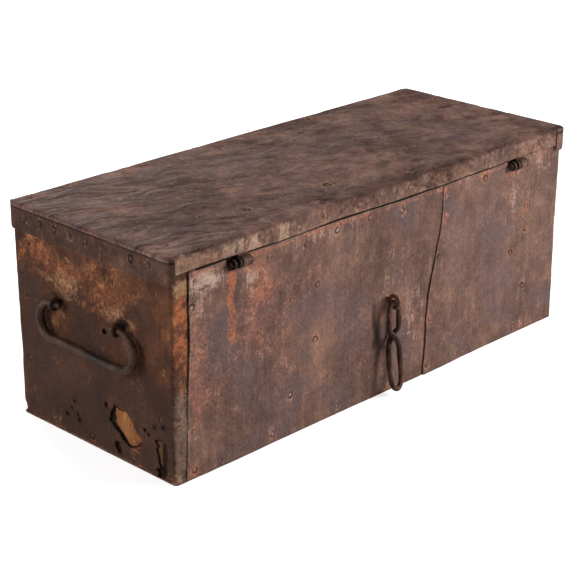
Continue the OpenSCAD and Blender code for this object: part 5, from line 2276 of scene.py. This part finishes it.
@dataclass
class LidBand:
    """The dark band round one end of the lid, with a short flap round each corner."""

    finishes: Finishes
    end: End
    nails: Array
    flap: float
    low_end: float = 0.191
    low_flap: float = 0.195
    high: float = 0.217
    corner: float = 0.0045
    grid: float = 0.0016
    hammer: Hammering = Hammering(seed=171, wave=0.0002, wave_size=0.05, mark=0.00012,
                                  mark_size=0.012, dimple=0.0003, high=0.0005)

    def wrap(self) -> Wrap:
        """The path round the end, from the flap on the hinge side.

        Returns:
            The path.
        """
        lead = self.flap - self.corner + 0.0005
        depth = BOX.lid_half_depth + BOX.band
        return Wrap(self.end, BOX.band_end, depth, self.corner, lead, lead)

    def build(self) -> bpy.types.Object:
        """Makes the band.

        Returns:
            The band as one closed mesh.
        """
        wrap = self.wrap()
        total = wrap.length()
        zs = grid_lines(self.low_end - 0.003, self.high, self.grid)

        def keep(s: Array, z: Array) -> Array:
            """The band's outline, whose flaps end at another height.

            Args:
                s: Places along the path round the end.
                z: Heights.

            Returns:
                Distances inside the sheet's edges, below zero outside them.
            """
            points = wrap.at(s, z)
            from_flap = np.minimum(s, total - s)
            low = self.low_end + (self.low_flap - self.low_end) * (
                1 - ease(from_flap, self.flap - 0.001, self.flap + 0.004)
            )
            low = low + 0.0006 * fractal(points, 0.025, 181 + self.end, 2)
            return np.minimum(from_flap, np.minimum(z - low, self.high - z + 0.0005))

        def place(s: Array, z: Array) -> Array:
            """The band's hammered outer face.

            Args:
                s: Places along the path round the end.
                z: Heights.

            Returns:
                One point for each place.
            """
            points = wrap.at(s, z)
            height = self.hammer.at(points, self.nails)
            height = np.clip(height, -0.0004, 0.0005)
            return wrap.at(s, z, height)

        def paint(points: Array, edge: Array) -> dict[Tone, Array]:
            """Rust at the corners, nail marks, a bright edge, and a dark upper line of painted
            shadow under the top sheet's lip.

            Args:
                points: Points, one to a row.
                edge: Distances from the band's edge.

            Returns:
                Strength of each tone.
            """
            tones = painted(points, [
                Stain(Tone.RUST, (self.end * 0.279, -0.108, 0.203), (0.02, 0.012, 0.012), 0.35),
                Stain(Tone.RUST, (self.end * 0.279, 0.1, 0.2), (0.02, 0.02, 0.012), 0.3),
            ], 191)
            add_nail_marks(tones, points, self.nails, 11, 0.25)
            tones[Tone.WORN] += 0.7 * np.exp(-edge / BRIGHT_EDGE)
            # Painted shadow: a dark line along the band's top, under the lip of the top sheet
            tones[Tone.SOOT] += np.exp(-(((points[:, 2] - 0.2135) / 0.0018) ** 2))
            return tones

        side = self.end.side
        piece = Sheet(
            f"lid_end_band_{side}_skin", np.linspace(0, total, round(total / self.grid) + 1), zs,
            place, keep, 0.0012, paint, lambda p: p - np.array([0, 0, 0.205]),
        ).build()
        dress(piece, self.finishes.band if self.end == LEFT else self.finishes.side)
        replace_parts(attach(piece, "lid"), f"lid_end_band_{side}")
        return piece


# Forged pieces


def skin_tones(rust: float, seed: int) -> Callable[[Array], dict[Tone, Array]]:
    """Paints a forged piece with patches of rust.

    Args:
        rust: How much rust there is.
        seed: Number that picks the patches.

    Returns:
        A function from points to the strength of each tone.
    """

    def paint(points: Array) -> dict[Tone, Array]:
        """Patches of rust."""
        patches = np.clip(fractal(points, 0.012, seed, 2) + rust, 0, 1)
        return {Tone.RUST: 0.8 * patches}

    return paint


@dataclass
class Bail:
    """One drop bail: a forged grip on two bent arms, with tips that turn in the eyes."""

    finishes: Finishes
    end: End
    bend_r: float = 0.0185
    rod_r: float = 0.0038
    arm_r: float = 0.0005
    tip_r: float = 0.0029
    tip_l: float = 0.007
    bend_y: float = 0.0479

    def path(self) -> tuple[Array, Array]:
        """The middle line and the radius along it.

        Returns:
            Points, and a radius for each.
        """
        tip_y = BOX.eye_y - self.tip_l
        steps = np.linspace(0, math.pi, 26)
        right = [(y, 0.0) for y in np.linspace(tip_y, self.bend_y, 8)[:-1]]
        right += [
            (self.bend_y + self.bend_r * math.sin(a), -self.bend_r * (1 - math.cos(a)))
            for a in steps
        ]
        grip = [(y, -2 * self.bend_r) for y in np.linspace(self.bend_y, -self.bend_y, 34)[1:-1]]
        left = [(-y, z) for y, z in reversed(right)]
        outline = np.array([*right, *grip, *left])
        y, z = outline.T
        sag = 0.0009 * np.sin(y * 55) * (z < -0.03)
        bow = 0.0003 * np.exp(-((y / 0.03) ** 2)) * (z < -0.03)
        x = np.full(len(y), self.end * BOX.bail_x) + self.end * bow
        points = np.stack([x, y, BOX.bail_z + z + sag], 1)
        away = np.abs(y)
        thick = np.where(z > -0.004, self.tip_r, self.rod_r)
        thick = np.convolve(np.pad(thick, 3, mode="edge"), np.ones(7) / 7, "valid")
        arm = np.exp(-(((away - 0.062) / 0.014) ** 2)) * ease(-z, 0.004, 0.012)
        return points, thick + self.arm_r * arm

    def build(self) -> bpy.types.Object:
        """Makes the bail.

        Returns:
            The bail.
        """
        side = self.end.side
        path, radii = rounded_ends(*self.path())
        piece = tube(f"bail_{side}_forged", path, radii, 18, rough=0.0002, seed=201,
                     tones=skin_tones(-0.1, 202))
        dress(piece, self.finishes.dark_forged)
        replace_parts(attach(piece, f"{side}_bail"), f"bail_{side}")
        return piece


def ring_path(middle: Sequence[float], radius: float, axis: int, count: int = 40) -> Array:
    """A circle round one axis.

    Args:
        middle: Its middle.
        radius: Its radius.
        axis: The axis that it goes round, from 0 to 2.
        count: Number of points.

    Returns:
        The points.
    """
    angle = 2 * math.pi * np.arange(count) / count
    first, second = (axis + 1) % 3, (axis + 2) % 3
    points = np.tile(np.array(middle, float), (count, 1))
    points[:, first] += radius * np.cos(angle)
    points[:, second] += radius * np.sin(angle)
    return points


def straight(start: Sequence[float], end: Sequence[float], count: int = 6) -> Array:
    """Points from start to end."""
    return np.linspace(np.array(start, float), np.array(end, float), count)


@dataclass(frozen=True)
class SplitEye:
    """A rod bent to a ring, its shank through the wall and its two legs clenched inside."""

    ring_r: float
    rod_r: float
    out: float
    shank_r: float = 0.0026
    wall: float = 0.0182
    aside: float = 0.0

    def parts(
        self, middle: Sequence[float], axis: int, way: int, face: float, rust: float,
        seeds: tuple[int, int],
    ) -> list[bpy.types.Object]:
        """Makes the ring, the shank and both legs.

        Args:
            middle: Middle of the ring.
            axis: The axis that the shank runs along, 0 or 1.
            way: Which way out is on that axis, -1 or 1.
            face: Distance of the wall's face from the middle of the box.
            rust: How rusty the ring is.
            seeds: Numbers that pick its marks and its rust.

        Returns:
            The four parts.
        """
        back = way * (face - self.wall)

        def spot(depth: float, up: float, aside: float = 0.0) -> tuple[float, ...]:
            """A place beside the eye.

            Args:
                depth: Place along the eye's axis of driving.
                up: Height over its middle.
                aside: Distance to its side.

            Returns:
                The place.
            """
            point = [0.0, 0.0, middle[2] + up]
            point[axis] = depth
            point[1 - axis] = middle[1 - axis] + aside
            return tuple(point)

        made = [
            tube("eye", ring_path(middle, self.ring_r, 1 - axis), np.full(40, self.rod_r), 12, True,
                 rough=0.0002, seed=seeds[0], tones=skin_tones(rust, seeds[1])),
            tube("shank", straight(spot(way * (face + self.out), 0), spot(back, 0)),
                 np.full(6, self.shank_r), 12),
        ]
        for up in (-1, 1):
            leg = np.array([
                spot(back + way * 0.001, up * 0.0004), spot(back - way * 0.0008, up * 0.002),
                spot(back - way * 0.0011, up * 0.006),
                spot(back - way * 0.0011, up * 0.0125, up * self.aside),
            ])
            path, radii = rounded_ends(leg, np.array([0.0017, 0.0018, 0.0016, 0.001]))
            made.append(tube("leg", path, radii, 10))
        return made


@dataclass
class BailEyes:
    """The two split eyes that carry one bail, with their legs clenched inside the wall."""

    finishes: Finishes
    end: End
    eye: SplitEye = SplitEye(0.0052, 0.0017, 0.0008, aside=0.0004)

    def build(self) -> bpy.types.Object:
        """Makes both eyes.

        Returns:
            The eyes as one piece.
        """
        side = self.end.side
        parts = []
        for number, y in enumerate((-BOX.eye_y, BOX.eye_y)):
            middle = (self.end * BOX.bail_x, y, BOX.bail_z)
            seed = 211 + number + self.end
            parts += self.eye.parts(middle, 0, self.end, BOX.half_length, 0.1, (seed, seed))
        piece = joined(f"bail_eyes_{side}_forged", parts)
        dress(piece, self.finishes.dark_forged)
        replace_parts(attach(piece, "case"), f"bail_eyes_{side}")
        return piece


@dataclass
class FigureEightLink:
    """One rod bent into two loops, its strands turned half round each other between them."""

    finishes: Finishes
    axis_y: float = -0.11895
    axis_z: float = 0.0985
    length: float = 0.091
    upper_share: float = 0.42
    upper_half: float = 0.007
    lower_half: float = 0.008
    rod_r: float = 0.0028
    foot_bend: float = 0.0065
    strand_gap: float = 0.0007
    squareness: float = 0.34
    twist_span: float = 0.020
    upper_neck: float = 0.3
    lower_neck: float = 0.24
    lower_bow: float = 0.28

    def half_width(self, z: float) -> float:
        """Half the distance between the strands at a depth below the top bar.

        Args:
            z: The depth, below zero.

        Returns:
            Half the distance.
        """
        cross = -self.upper_share * self.length
        pinch = self.rod_r + self.strand_gap / 2
        if z > cross:
            share = z / cross
            neck = self.smooth((share - 1 + self.upper_neck) / self.upper_neck)
            shoulder = abs(1 - max(0.0, 1 - 2 * share) ** 6) ** self.squareness
            return self.upper_half * shoulder * (1 - neck) + pinch * neck
        share = (z - cross) / (-self.length - cross)
        open_ = self.smooth(share / self.lower_neck)
        bow = max(0.0, (share - 1 + self.lower_bow) / self.lower_bow)
        return pinch * (1 - open_) + self.lower_half * open_ * math.sqrt(max(0.0, 1 - bow**2))

    @staticmethod
    def smooth(value: float) -> float:
        """Smooth step from 0 to 1."""
        share = min(1.0, max(0.0, value))
        return share * share * (3 - 2 * share)

    def point(self, share: float, side: float) -> tuple[float, float, float]:
        """One point of a strand.

        Args:
            share: How far down the link, from 0 to 1.
            side: Which strand, 0 or pi.

        Returns:
            The point in the frame.
        """
        cross = -self.upper_share * self.length
        z = -self.length * (1 - math.cos(math.pi * share)) / 2
        turn = math.pi * self.smooth(0.5 - (z - cross) / self.twist_span) + side
        bend = -self.foot_bend * max(0.0, (cross - z) / (self.length + cross)) ** 1.4
        half = self.half_width(z)
        return (
            BOX.link_x + half * math.cos(turn),
            self.axis_y + half * math.sin(turn) + bend,
            self.axis_z + z,
        )

    def build(self) -> bpy.types.Object:
        """Makes the link.

        Returns:
            The link.
        """
        steps = 72
        down = [self.point(i / steps, math.pi) for i in range(steps + 1)]
        up = [self.point(1 - i / steps, 0.0) for i in range(1, steps)]
        path = np.array(down + up)
        place = placed(path[:, 2], 0, path[:, 0])
        radii = self.rod_r - 0.0001 + 0.0002 * fractal(place, 0.012, 231, 2)
        piece = tube("figure_eight_link_forged", path, radii, 16, True, rough=0.00018, seed=232,
                     tones=skin_tones(0.0, 233))
        dress(piece, self.finishes.link)
        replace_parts(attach(piece, "link"), "figure_eight_link")
        return piece


@dataclass
class LinkStaple:
    """The staple that the link hangs in."""

    finishes: Finishes
    middle: tuple[float, float, float] = (BOX.link_x, -0.11895, 0.0991)
    eye: SplitEye = SplitEye(0.006, 0.0022, 0.0009)

    def build(self) -> bpy.types.Object:
        """Makes the staple.

        Returns:
            The staple.
        """
        parts = self.eye.parts(self.middle, 1, -1, BOX.half_depth, 0.9, (241, 242))
        piece = joined("link_staple_forged", parts)
        dress(piece, self.finishes.forged)
        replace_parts(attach(piece, "case"), "link_staple")
        return piece


def turned(
    name: str, profile: Sequence[tuple[float, float]], middle: Sequence[float], sides: int = 28,
    rough: float = 0.00012, seed: int = 1, rust: float = 0.0,
) -> bpy.types.Object:
    """A round piece along X, from its profile.

    Args:
        name: Name of the piece.
        profile: Pairs of X, from the middle, and radius, along the piece.
        middle: The middle of the piece.
        sides: Number of sides.
        rough: Depth of its unevenness.
        seed: Number that picks it.
        rust: How rusty it is.

    Returns:
        The piece.
    """
    steps = np.array(profile)
    path = np.tile(np.array(middle, float), (len(steps), 1))
    path[:, 0] += steps[:, 0]
    count = len(path)
    angle = 2 * math.pi * np.arange(sides) / sides
    spokes = np.stack([0 * angle, np.cos(angle), np.sin(angle)], 1)
    points = (path[:, None, :] + steps[:, 1][:, None, None] * spokes[None]).reshape(-1, 3)
    bump = rough * fractal(points, 0.005, seed, 2)
    points = points + np.tile(spokes, (count, 1)) * bump[:, None]
    faces = capped(np.roll(ring_faces(count - 1, count, sides), -1, 1), count, sides)
    return new_piece(name, points, faces, skin_tones(rust, seed + 1)(points), 50.0)


def barrel(half: float, radius: float, ease_r: float = 0.0008) -> list[tuple[float, float]]:
    """Profile of a knuckle with eased ends.

    Args:
        half: Half its length.
        radius: Its radius.
        ease_r: Radius of the eased ends.

    Returns:
        The profile.
    """
    bend = np.linspace(0, math.pi / 2, 4)
    start = [
        (-half + ease_r * (1 - math.sin(a)), radius - ease_r * (1 - math.cos(a)))
        for a in bend[::-1]
    ]
    middle = [(x, radius) for x in np.linspace(-half + ease_r, half - ease_r, 8)[1:-1]]
    return start[::-1] + middle + [(-x, r) for x, r in start]


@dataclass
class Hinge:
    """One let-in hinge: two rings on the case, a wide knuckle on the lid, and the pin."""

    finishes: Finishes
    end: End
    half: float = 0.012
    knuckle_r: float = 0.0052
    pin_r: float = 0.0022
    ring_half: float = 0.0015
    ring_places: tuple[float, float] = (-0.7, -0.17)
    gap: float = 0.00035
    leaf: float = 0.002

    def build(self) -> list[bpy.types.Object]:
        """Makes the hinge's three pieces.

        Returns:
            The case leaf, the lid leaf and the pin.
        """
        side = self.end.side
        x = self.end * BOX.hinge_x
        middle = (x, BOX.hinge_y, BOX.hinge_z)
        seed = 251 + self.end
        rings = [
            turned("ring", barrel(self.ring_half, self.knuckle_r - 0.0002),
                   (x + place * self.half, BOX.hinge_y, BOX.hinge_z), seed=seed, rust=-0.2)
            for place in self.ring_places
        ]
        rings.append(self.plate(x - self.half, x - self.gap, BOX.hinge_z - 0.020, BOX.hinge_z,
                                -(BOX.half_depth - BOX.sheet)))
        case_leaf = joined(f"hinge_case_leaf_{side}_forged", rings)
        width = self.half - self.gap
        knuckle = turned("knuckle", barrel(width / 2, self.knuckle_r),
                         (x + self.gap + width / 2, BOX.hinge_y, BOX.hinge_z), seed=seed + 3,
                         rust=0.25 if self.end == RIGHT else 0.05)
        tongue = self.plate(x + self.gap, x + self.half, BOX.hinge_z, BOX.lid_low + 0.013,
                            -(BOX.lid_half_depth - BOX.sheet))
        lid_leaf = joined(f"hinge_lid_leaf_{side}_forged", [knuckle, tongue])
        pin_half = self.half
        pin = turned(
            f"hinge_pin_{side}_forged",
            [(-pin_half - 0.0008, 0.002), (-pin_half - 0.0007, 0.0029), (-pin_half, 0.003),
             (-pin_half + 0.00005, self.pin_r), (pin_half - 0.0004, self.pin_r),
             (pin_half, self.pin_r - 0.0004)],
            middle, 20, seed=seed + 6, rust=-0.1,
        )
        for piece, body, node in (
            (case_leaf, "case", f"hinge_case_leaf_{side}"),
            (lid_leaf, "lid", f"hinge_lid_leaf_{side}"),
            (pin, "case", f"hinge_pin_{side}"),
        ):
            bright = piece is lid_leaf or self.end == RIGHT
            dress(piece, self.finishes.forged if bright else self.finishes.dark_forged)
            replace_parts(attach(piece, body), node)
        return [case_leaf, lid_leaf, pin]

    def plate(self, x0: float, x1: float, z0: float, z1: float, y: float) -> bpy.types.Object:
        """A leaf let into a board, its outer face on one plane.

        Args:
            x0: Left edge.
            x1: Right edge.
            z0: Lower edge.
            z1: Upper edge.
            y: Plane of the outer face.

        Returns:
            The leaf.
        """
        corner = 0.002

        def keep(x: Array, z: Array) -> Array:
            """A rectangle with round corners.

            Args:
                x: Places along the side.
                z: Heights.

            Returns:
                Distances inside the sheet's edges, below zero outside them.
            """
            du = np.abs(x - (x0 + x1) / 2) - (x1 - x0) / 2 + corner
            dv = np.abs(z - (z0 + z1) / 2) - (z1 - z0) / 2 + corner
            return corner - past_corner(du, dv)

        return Sheet(
            "leaf", np.arange(x0 - 0.001, x1 + 0.0011, 0.001),
            np.arange(z0 - 0.001, z1 + 0.0011, 0.001),
            lambda x, z: placed(x, y, z), keep, self.leaf,
            lambda p, e: {Tone.WORN: np.exp(-e / 0.001)}, along_y,
        ).build()


@dataclass
class Hasp:
    """The hasp on the lock side: its leaf and pin on the lid, and the slotted strap."""

    finishes: Finishes
    axis_y: float = 0.11635
    axis_z: float = 0.2050
    knuckle_r: float = 0.0042
    pin_r: float = 0.0019
    mid: float = 0.0057
    clear: float = 0.0003
    leaf_half: float = 0.017
    leaf_high: float = 0.216
    thick: float = 0.0024
    strap_half: float = 0.013
    strap_l: float = 0.0606
    rest: float = 36.0
    slot_half: float = 0.0038
    slot_top: float = 0.0276
    slot_foot: float = 0.0488

    def strap_points(self, x: Array, y: Array, z: Array) -> Array:
        """Turns points of the hanging strap to where it rests.

        Args:
            x: Places across the strap.
            y: Places through it, from the pivot.
            z: Heights from the pivot.

        Returns:
            Points in the frame.
        """
        turn = math.radians(self.rest)
        return np.stack([
            x,
            self.axis_y + y * math.cos(turn) - z * math.sin(turn),
            self.axis_z + y * math.sin(turn) + z * math.cos(turn),
        ], 1)

    def strap_outline(self, x: Array, z: Array) -> Array:
        """Distance inside the strap's outline and outside its slot.

        Args:
            x: Places across the strap.
            z: Places along it, below zero.

        Returns:
            The distances, below zero outside the strap and in the slot.
        """
        half, foot, top, round_r = self.strap_half, -self.strap_l + self.strap_half, -0.012, 0.004
        du = np.abs(x) - half + round_r
        dv = z - top + round_r
        body = round_r - past_corner(du, dv)
        body = np.where(z < foot, half - np.hypot(x, z - foot), body)
        neck = np.minimum(self.mid - np.abs(x), np.minimum(0.0005 - z, z + 0.013))
        body = np.maximum(body, neck)
        mid_z = np.clip(z, -self.slot_foot + self.slot_half, -self.slot_top - self.slot_half)
        slot = np.hypot(x, z - mid_z) - self.slot_half
        return np.minimum(body, slot)

    def build(self) -> list[bpy.types.Object]:
        """Makes the hasp's pieces.

        Returns:
            The leaf, the pin and the strap.
        """
        middle = (0.0, self.axis_y, self.axis_z)
        back = -self.knuckle_r + self.clear
        hammer = Hammering(seed=261, wave=0.0002, wave_size=0.03, mark=0.00015, mark_size=0.01,
                           low=-0.0003, high=0.0003)

        def strap_place(x: Array, z: Array) -> Array:
            """The strap's outer face, swung to where it rests.

            Args:
                x: Places across the strap.
                z: Places along it, below zero.

            Returns:
                One point for each place.
            """
            flat = placed(x, 0, z)
            swell = hammer.at(flat, np.empty((0, 3)))
            return self.strap_points(x, back + self.thick + swell, z)

        def outward(points: Array) -> Array:
            """The direction that the swung strap faces."""
            turn = math.radians(self.rest)
            return np.tile([0, math.cos(turn), math.sin(turn)], (len(points), 1))

        strap = Sheet(
            "strap", np.arange(-0.0145, 0.0146, 0.001), np.arange(-0.0625, 0.0015, 0.001),
            strap_place, self.strap_outline, self.thick,
            lambda p, e: {
                Tone.WORN: np.exp(-e / 0.0015), Tone.RUST: 0.5 * np.exp(-e / RUSTY_EDGE)
            }, outward,
        ).build()
        knuckle = turned("knuckle", barrel(self.mid, self.knuckle_r), middle, 28, seed=262)
        roll_profile = barrel(self.strap_half / 2, 0.002, 0.0006)
        roll = turned("roll", roll_profile, (0, 0, 0), 16, seed=263)
        roll_at = self.strap_points(
            np.zeros(1), np.array([back + self.thick]), np.array([-self.strap_l + 0.0024])
        )[0]
        roll.data.transform(Matrix.Translation(Vector(roll_at)))
        strap = joined("hasp_strap_forged", [strap, knuckle, roll])

        notch = self.mid + self.clear
        low = self.axis_z - self.knuckle_r / 2

        def leaf_outline(x: Array, z: Array) -> Array:
            """The leaf with the notch for the strap's knuckle.

            Args:
                x: Places along the side.
                z: Heights.

            Returns:
                Distances inside the leaf's edges, below zero outside them.
            """
            body = np.minimum(self.leaf_half - np.abs(x), np.minimum(z - low, self.leaf_high - z))
            du = np.abs(x) - notch
            dv = z - (self.axis_z + self.knuckle_r + 0.0006)
            return np.minimum(body, past_corner(du, dv))

        leaf_y = BOX.lid_half_depth + self.thick
        leaf = Sheet(
            "leaf", np.arange(-0.018, 0.0181, 0.001), np.arange(0.202, 0.2171, 0.001),
            lambda x, z: placed(x, leaf_y, z), leaf_outline, self.thick,
            lambda p, e: {Tone.WORN: np.exp(-e / 0.001)}, along_y,
        ).build()
        parts = [leaf]
        for way in (-1, 1):
            width = self.leaf_half - notch
            at = (way * (self.leaf_half + notch) / 2, self.axis_y, self.axis_z)
            profile = barrel(width / 2, self.knuckle_r)
            parts.append(turned("knuckle", profile, at, 28, seed=265 + way))
        leaf = joined("hasp_leaf_forged", parts)
        end = self.leaf_half + 0.0004
        head = [
            (end + 0.001, 0.002), (end + 0.0007, 0.0026), (end, 0.00275),
            (end - 0.00005, self.pin_r),
        ]
        pin = turned(
            "hasp_pin_forged",
            [(-x, r) for x, r in head] + [(x, r) for x, r in reversed(head)], middle, 20, seed=268,
        )
        for piece, body, node in (
            (leaf, "lid", "hasp_leaf"), (pin, "lid", "hasp_pin"), (strap, "hasp", "hasp_strap")
        ):
            dress(piece, self.finishes.forged)
            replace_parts(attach(piece, body), node)
        return [leaf, pin, strap]


@dataclass
class PadlockStaple:
    """The staple that the hasp goes over."""

    finishes: Finishes
    z: float = 0.167
    bow_r: float = 0.0066
    rod_r: float = 0.0024
    leg: float = 0.007
    inner_y: float = 0.09255

    def build(self) -> bpy.types.Object:
        """Makes the staple.

        Returns:
            The staple.
        """
        front = BOX.half_depth + self.leg
        turn = np.linspace(math.pi / 2, -math.pi / 2, 22)
        bow = [
            (0.0, front + self.bow_r * math.cos(a), self.z + self.bow_r * math.sin(a))
            for a in turn
        ]
        legs = []
        for up in (1, -1):
            z = self.z + up * self.bow_r
            leg = [(0.0, y, z) for y in np.linspace(self.inner_y + 0.0015, front, 9)[:-1]]
            clench = [
                (0.0, self.inner_y - 0.001, z + up * (0.004 + d)) for d in (0.006, 0.003, 0.0)
            ]
            clench.append((0.0, self.inner_y - 0.0006, z + up * 0.0018))
            legs.append(clench + leg)
        path = np.array(legs[0] + bow + legs[1][::-1])
        radii = np.full(len(path), self.rod_r)
        radii[:3] = radii[-3:] = (0.0009, 0.001, 0.0011)
        path, radii = rounded_ends(path, radii)
        piece = tube("padlock_staple_forged", path, radii, 14, rough=0.00015, seed=271,
                     tones=skin_tones(0.1, 272))
        dress(piece, self.finishes.forged)
        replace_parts(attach(piece, "case"), "padlock_staple")
        return piece


# Studio


@dataclass(frozen=True)
class Studio:
    """A pale floor, soft lamps and the camera."""

    eye: tuple[float, float, float] = (-1.1665, -1.1187, 0.7249)
    azimuth: float = -45.486
    elevation: float = 21.617
    roll: float = 0.079
    lens: float = 106.95
    film: float = 36.0

    def camera(self) -> None:
        """Sets the camera where the photograph was taken from."""
        a, e, r = (math.radians(v) for v in (self.azimuth, self.elevation, self.roll))
        back = Vector((math.sin(a) * math.cos(e), -math.cos(a) * math.cos(e), math.sin(e)))
        across = Vector((0, 0, 1)).cross(back).normalized()
        up = back.cross(across)
        x_axis = across * math.cos(r) + up * math.sin(r)
        y_axis = -across * math.sin(r) + up * math.cos(r)
        data = bpy.data.cameras.new("camera")
        data.lens = self.lens
        data.sensor_width = self.film
        data.clip_end = 50
        camera = bpy.data.objects.new("camera", data)
        turn = Matrix((x_axis, y_axis, back)).transposed().to_4x4()
        camera.matrix_world = Matrix.Translation(Vector(self.eye)) @ turn
        bpy.context.scene.collection.objects.link(camera)
        bpy.context.scene.camera = camera

    @staticmethod
    def lamp(name: str, at: Sequence[float], size: float, power: float) -> None:
        """Adds one square lamp that points at the box.

        Args:
            name: Name of the lamp.
            at: Its place.
            size: Its side, in metres.
            power: Its power, in watts.
        """
        data = bpy.data.lights.new(name, "AREA")
        data.shape = "SQUARE"
        data.size = size
        data.energy = power
        lamp = bpy.data.objects.new(name, data)
        lamp.location = at
        lamp.rotation_euler = (Vector((0, 0, 0.1)) - Vector(at)).to_track_quat("-Z", "Y").to_euler()
        bpy.context.scene.collection.objects.link(lamp)

    def build(self) -> None:
        """Makes the floor, the lamps, the world and the camera."""
        bpy.context.scene.view_settings.view_transform = "Standard"
        bpy.ops.mesh.primitive_plane_add(size=14, location=(0, 0, 0))
        floor = bpy.context.object
        floor.name = "floor"
        s = Shader("pale_floor")
        seen = Number(s, s.node("ShaderNodeLightPath").outputs["Is Camera Ray"])
        glow = s.mix(seen, (0.0, 0.0, 0.0), (0.62, 0.62, 0.62))
        dress(floor, s.finish(Base_Color=(0.85, 0.85, 0.85), Roughness=1.0, Specular_IOR_Level=0.0,
                              Emission_Color=glow, Emission_Strength=1.0))
        world = bpy.data.worlds.new("studio")
        bpy.context.scene.world = world
        world.use_nodes = True
        sky = Nodes(world.node_tree)
        soft, white = (
            sky.node("ShaderNodeBackground", {}, {0: (1.0, 1.0, 1.0), 1: power}).outputs[0]
            for power in (0.2, 1.0)
        )
        ray = sky.node("ShaderNodeLightPath").outputs["Is Camera Ray"]
        both = sky.node("ShaderNodeMixShader", {}, {0: ray, 1: soft, 2: white})
        sky.node("ShaderNodeOutputWorld", {}, {0: both.outputs[0]})
        self.lamp("right_softbox", (1.5, -1.7, 1.1), 1.0, 57)
        self.lamp("left_softbox", (-1.9, 0.9, 1.0), 1.0, 27)
        self.lamp("back_softbox", (0.7, 2.0, 1.0), 0.9, 22)
        self.camera()


def set_nail_heads(
    frame: dict, finishes: Finishes, sheets: dict[str, Callable[[Array], Array]]
) -> list[bpy.types.Object]:
    """Sets a worn head on every clout nail, on the surface of its sheet.

    Args:
        finishes: The box's materials.
        sheets: Height of each sheet above its flat form, by CAD node of nails.

    Returns:
        One piece for each CAD node of nails.
    """
    tree = NailTree()
    made = []
    side = HeadLook(finishes.side, 0.45)
    end = HeadLook(finishes.end, 0.1, pale=0.1, radius=0.0021)
    band = HeadLook(finishes.band, 0.0, pale=0.2, radius=0.0023)
    rows = {
        "hinge_side_nails": ("case", side),
        "lock_side_nails": ("case", side),
        "end_nails_left": ("case", end),
        "end_nails_right": ("case", side),
        "lid_top_nails": ("lid", HeadLook(finishes.top, 0.5, radius=0.0027)),
        "lid_rim_nails": ("lid", side),
        "lid_band_nails_left": ("lid", band),
        "lid_band_nails_right": ("lid", band),
        "hasp_leaf_nails": ("lid", HeadLook(finishes.forged)),
    }
    for number, (node, (body, look)) in enumerate(rows.items()):
        places, facing = [], []
        for outward in NAIL_WAYS[node]:
            flat = NailRow(node, outward).places(frame)
            out = np.tile(np.array(outward, float), (len(flat), 1))
            height = sheets[node](flat) if node in sheets else np.zeros(len(flat))
            places.append(flat + out * (height[:, None] - SUNK))
            facing.append(out)
        heads = tree.heads(
            node + "_heads", np.concatenate(places), np.concatenate(facing), look, number
        )
        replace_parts(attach(heads, body), node)
        made.append(heads)
    return made


def main() -> None:
    """Builds the box's pieces in order and reports each one."""
    logging.basicConfig(level=logging.INFO, format="%(name)s: %(message)s")
    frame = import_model()
    finishes = Finishes()

    def nails(*nodes: str) -> Array:
        """Places of the nails of all these nodes."""
        return np.concatenate([nails_of(frame, node) for node in nodes])

    hinge_side = HingeSide(finishes, nails("hinge_side_nails"))
    lock_side = LockSide(finishes, nails("lock_side_nails"))
    left_end = EndSheet(finishes, LEFT, nails("end_nails_left"), 0.018)
    right_end = EndSheet(finishes, RIGHT, nails("end_nails_right"), 0.052)
    lid_top = LidTop(finishes, nails("lid_top_nails", "lid_rim_nails"))
    builders = [
        hinge_side, lock_side, left_end, right_end, lid_top,
        LidBand(finishes, LEFT, nails("lid_band_nails_left"), 0.0045),
        LidBand(finishes, RIGHT, nails("lid_band_nails_right"), 0.013),
        Hinge(finishes, LEFT), Hinge(finishes, RIGHT), Bail(finishes, LEFT), Bail(finishes, RIGHT),
        BailEyes(finishes, LEFT), BailEyes(finishes, RIGHT), FigureEightLink(finishes),
        LinkStaple(finishes), Hasp(finishes), PadlockStaple(finishes),
    ]
    for builder in builders:
        made = builder.build()
        for piece in made if isinstance(made, list) else [made]:
            log.info("%s: %d faces", piece.name, len(piece.data.polygons))

    hammered = {
        "hinge_side_nails": hinge_side, "lock_side_nails": lock_side,
        "end_nails_left": left_end, "end_nails_right": right_end,
    }
    sheets = {
        node: lambda p, sheet=sheet: sheet.hammer.at(p, sheet.nails)
        for node, sheet in hammered.items()
    }
    sheets |= {"lid_top_nails": lid_top.relief, "lid_rim_nails": lid_top.relief}
    for piece in set_nail_heads(frame, finishes, sheets):
        log.info("%s: %d faces", piece.name, len(piece.data.polygons))

    for name, node in frame["nodes"].items():
        if node.hide_render:
            continue
        if "board" in name:
            dress(node, finishes.board_end if name.startswith("end") else finishes.board_long)
        elif "nails" in name:
            dress(node, finishes.nail)
        else:
            dress(node, finishes.side)
        log.info("%s keeps its own shape", name)

    Studio().build()


if __name__ == "__main__":
    main()
